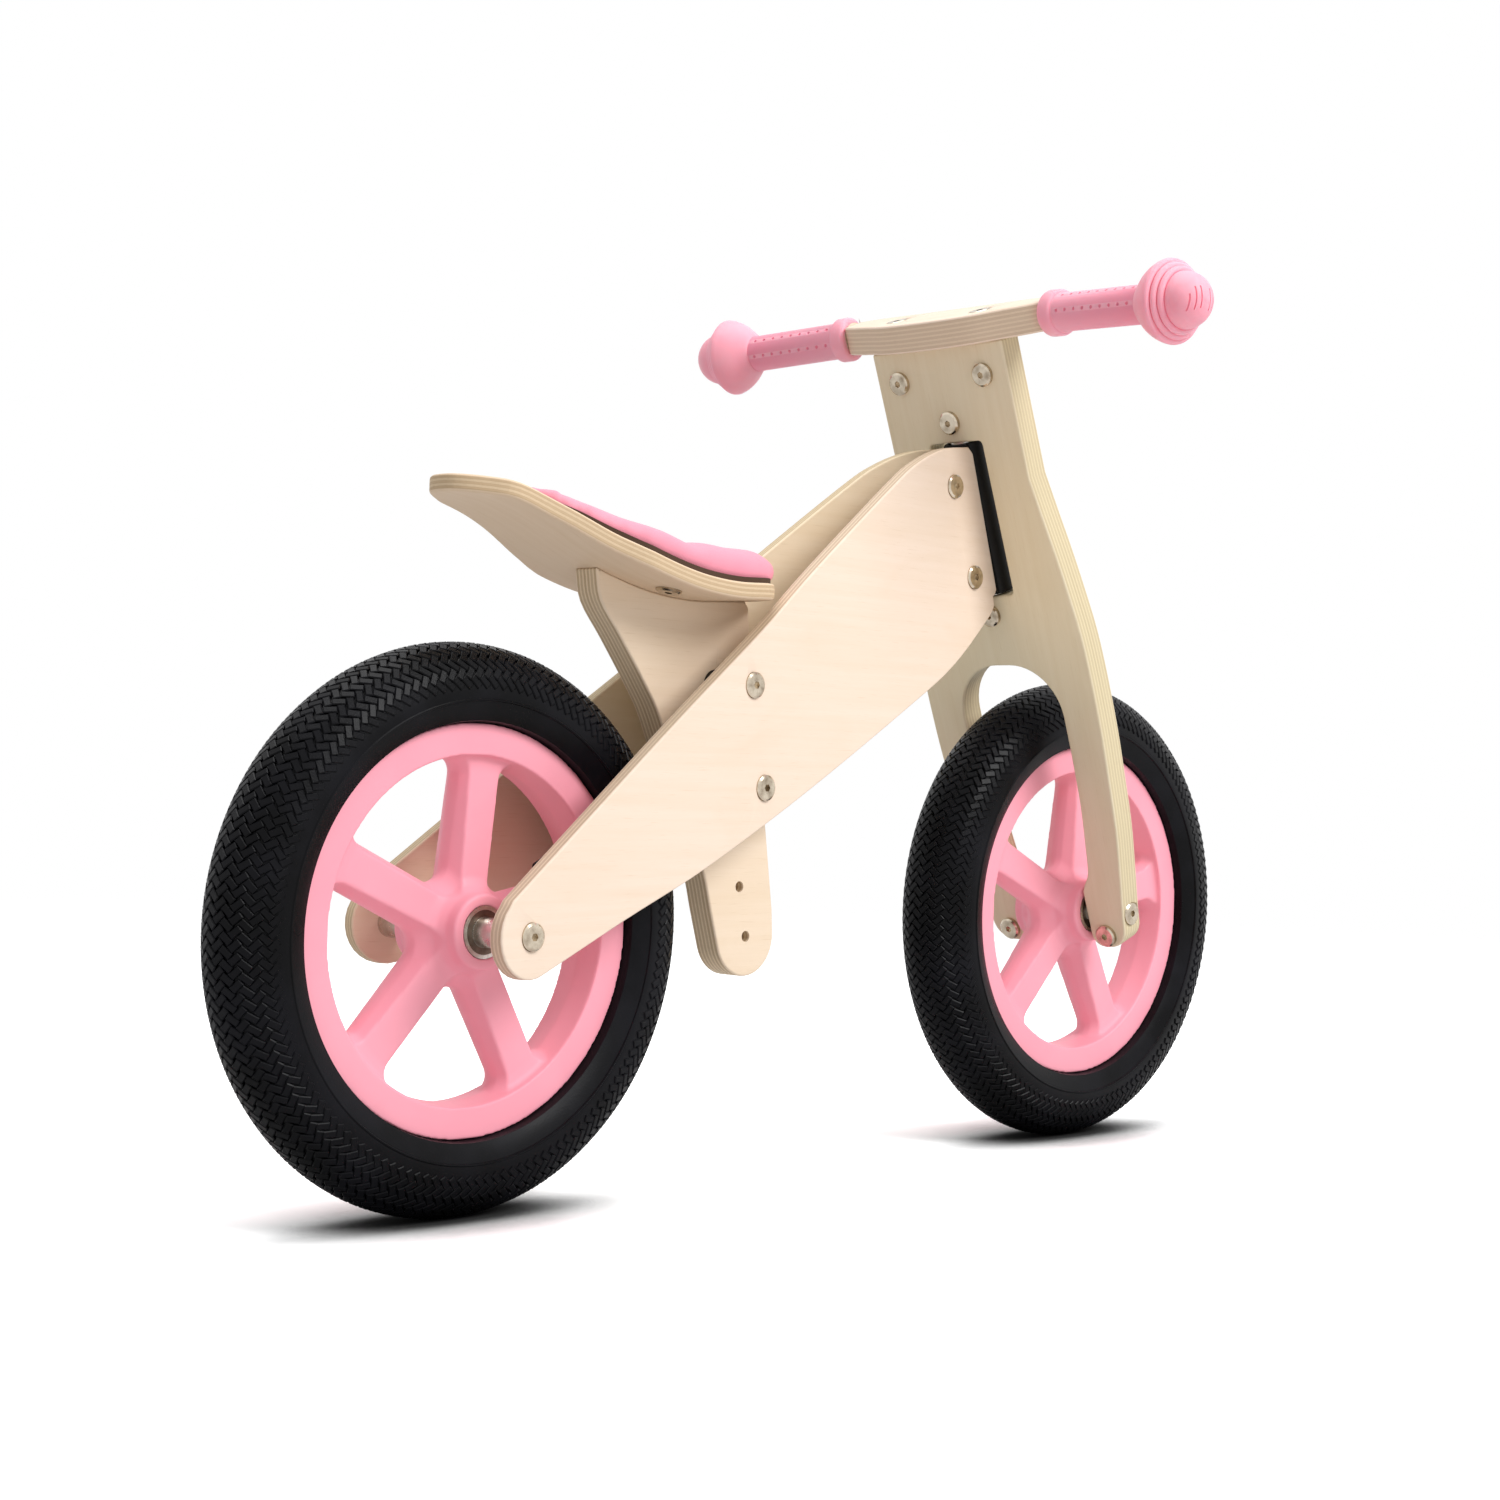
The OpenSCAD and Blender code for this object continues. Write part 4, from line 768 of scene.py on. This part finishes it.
cushion = {
    "voxel": 0.0042, "slimmer": 0.0022,
    "pressure": 4.0, "frames": 20, "most": 0.0032,                # stuffing, and how far it may push
    "smoothing": 12, "plump": 0.0036,
    "creaseAt": 0.126, "creaseW": 0.008, "creaseD": 0.0030,       # ahead of the rear axle
    "rearSink": 0.0042, "rearL": 0.05, "frontRise": 0.0014, "frontL": 0.014,
    "reach": 0.0080, "tailIn": 0.0040, "reachL": 0.03,            # both ends drawn forwards
    "rimDrop": 0.0022,                                            # lower rim, down onto its base
}


def makeCushion():
    piece = finishMesh("seat_cushion", cadCopy("seat_pad"), materials["leathercloth"])
    remesh = piece.modifiers.new("remesh", "REMESH")
    remesh.mode, remesh.voxel_size = "VOXEL", cushion["voxel"]
    settle(piece)
    for vert in piece.data.vertices:
        vert.co -= vert.normal * cushion["slimmer"]
    start = [vert.co.copy() for vert in piece.data.vertices]
    cloth = piece.modifiers.new("stuffing", "CLOTH")
    cloth.settings.use_pressure = True
    cloth.settings.uniform_pressure_force = cushion["pressure"]
    cloth.settings.effector_weights.gravity = 0
    for frameNumber in range(1, cushion["frames"] + 1):
        bpy.context.scene.frame_set(frameNumber)
    settle(piece)
    for vert, old in zip(piece.data.vertices, start):
        move = vert.co - old
        if move.length > cushion["most"]:
            vert.co = old + move.normalized() * cushion["most"]
    bpy.context.scene.frame_set(1)
    # sat-in shape: thin to the rear, full at the front, a soft dip between the two
    front = max(vert.co.x for vert in piece.data.vertices)
    back = min(vert.co.x for vert in piece.data.vertices)
    for vert in piece.data.vertices:
        away = vert.co.x - rearAxle.x - cushion["creaseAt"]
        if vert.normal.z > 0.2:
            vert.co.z -= cushion["creaseD"] * math.exp(-(away / cushion["creaseW"]) ** 2)
            if away < 0:
                vert.co.z -= cushion["rearSink"] * min(1, -away / cushion["rearL"])
            else:
                vert.co.z += cushion["frontRise"] * min(1, away / cushion["frontL"])
        elif vert.normal.z < -0.2:
            vert.co.z -= cushion["rimDrop"]
        vert.co.x += (cushion["reach"] * max(0, 1 - (front - vert.co.x) / cushion["reachL"])
                      + cushion["tailIn"] * max(0, 1 - (vert.co.x - back) / cushion["reachL"]))
    smooth = piece.modifiers.new("smooth", "SMOOTH")
    smooth.factor, smooth.iterations = 0.5, cushion["smoothing"]
    plump = piece.modifiers.new("plump", "DISPLACE")
    plump.strength, plump.mid_level = cushion["plump"], 0
    fine = piece.modifiers.new("fine", "SUBSURF")
    fine.levels = fine.render_levels = 1
    settle(piece)
    piece.data.polygons.foreach_set("use_smooth", [True] * len(piece.data.polygons))
    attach(piece, "frame")
    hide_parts("seat_pad")


makeCushion()
print("cushion made")


studio = {
    "floorGlow": 2.4,               # how much whiter than white paper the floor shows to the camera
    "shadeReach": 0.14,             # how near a tyre the floor darkens
    "ambient": 0.505,               # strength of the even light from all round
    "camera": (-1.1319, -1.0606, 0.2446),
    "heading": radians(44.26),      # from +X towards +Y
    "elevation": radians(0.33),
    "roll": radians(1.6),
    "lens": 61.38,                  # on a 36 mm square frame
}


# matt white paper, brightened for the camera so that only the shade right under the tyres shows; that shade
# is painted, from ambient occlusion
def makeFloor():
    mat, tree, shader = newMaterial("matt white paper")
    output = tree.nodes["Material Output"]
    tree.nodes.remove(shader)
    place = addNode(tree, "TexCoord", out="Object")
    fibre = addNode(tree, "TexNoise", {0: place, "Scale": 90.0, "Detail": 3.0})      # 11 mm clouds of pulp
    tone = addNode(tree, "MapRange", {0: fibre, 1: 0.3, 2: 0.7, 3: 0.7, 4: 0.74})
    # painted shade: the paper's colour darkens near the tyres, by ambient occlusion
    near = addNode(tree, "AmbientOcclusion", {"Distance": studio["shadeReach"]}, "AO", samples=12)
    shade = addNode(tree, "MapRange", {0: near, 1: 0.35, 2: 0.95, 3: 0.03, 4: 1.0},
                    interpolation_type="SMOOTHSTEP")
    seen = addNode(tree, "LightPath", out="Is Camera Ray")
    glow = addNode(tree, "Math", {0: seen, 1: studio["floorGlow"] - 1, 2: 1.0}, operation="MULTIPLY_ADD")
    tone = addNode(tree, "Math", {0: tone, 1: glow}, operation="MULTIPLY")
    tone = addNode(tree, "Math", {0: tone, 1: shade}, operation="MULTIPLY")
    grey = addNode(tree, "CombineXYZ", {0: tone, 1: tone, 2: tone})
    paper = addNode(tree, "BsdfDiffuse", {"Color": grey})
    # far away it gives way to the white surroundings
    far = addNode(tree, "VectorMath", {0: place}, "Value", operation="LENGTH")
    fade = addNode(tree, "MapRange", {0: far, 1: 1.0, 2: 2.8, 3: 0.0, 4: 1.0})
    clear = addNode(tree, "BsdfTransparent")
    tree.links.new(addNode(tree, "MixShader", {0: fade, 1: paper, 2: clear}), output.inputs[0])
    bm = bmesh.new()
    bmesh.ops.create_circle(bm, cap_ends=True, radius=3.0, segments=96)
    finishMesh("floor", bm, mat)


def makeWorld():
    world = bpy.data.worlds.new("studio")
    bpy.context.scene.world = world
    world.use_nodes = True
    tree = world.node_tree
    soft = tree.nodes["Background"]
    soft.inputs["Color"].default_value = (1, 1, 1, 1)
    soft.inputs["Strength"].default_value = studio["ambient"]
    white = addNode(tree, "Background", {"Color": (1, 1, 1, 1), "Strength": 1.0})
    path = addNode(tree, "LightPath").node.outputs
    seen = addNode(tree, "Math", {0: path["Is Glossy Ray"], 1: path["Is Transmission Ray"]},
                   operation="MAXIMUM")
    seen = addNode(tree, "Math", {0: path["Is Camera Ray"], 1: seen}, operation="MAXIMUM")
    tree.links.new(addNode(tree, "MixShader", {0: seen, 1: soft.outputs[0], 2: white}),
                   tree.nodes["World Output"].inputs[0])


def makeLamp(name, place, target, size, power):
    lamp = bpy.data.lights.new(name, "AREA")
    lamp.shape = "DISK"
    lamp.size = size
    lamp.energy = power
    holder = bpy.data.objects.new(name, lamp)
    bpy.context.scene.collection.objects.link(holder)
    aim = Vector(target) - Vector(place)
    holder.matrix_world = Matrix.Translation(place) @ aim.to_track_quat("-Z", "Y").to_matrix().to_4x4()


def makeCamera():
    lens = bpy.data.cameras.new("camera")
    lens.lens = studio["lens"]
    lens.sensor_width = 36
    lens.clip_end = 50
    holder = bpy.data.objects.new("camera", lens)
    bpy.context.scene.collection.objects.link(holder)
    holder.matrix_world = (Matrix.Translation(studio["camera"]) @ turned(studio["heading"] - pi / 2, "Z")
                           @ turned(pi / 2 + studio["elevation"], "X") @ turned(studio["roll"], "Z"))
    bpy.context.scene.camera = holder


makeFloor()
makeWorld()
makeLamp("key", (0.5, -2.3, 2.1), (0, 0, 0.25), 1.5, 64.5)
makeLamp("top", (-0.1, 0.2, 2.8), (0, 0, 0.25), 2.2, 37)
makeCamera()
bpy.context.scene.view_settings.view_transform = "Standard"
print("studio made")
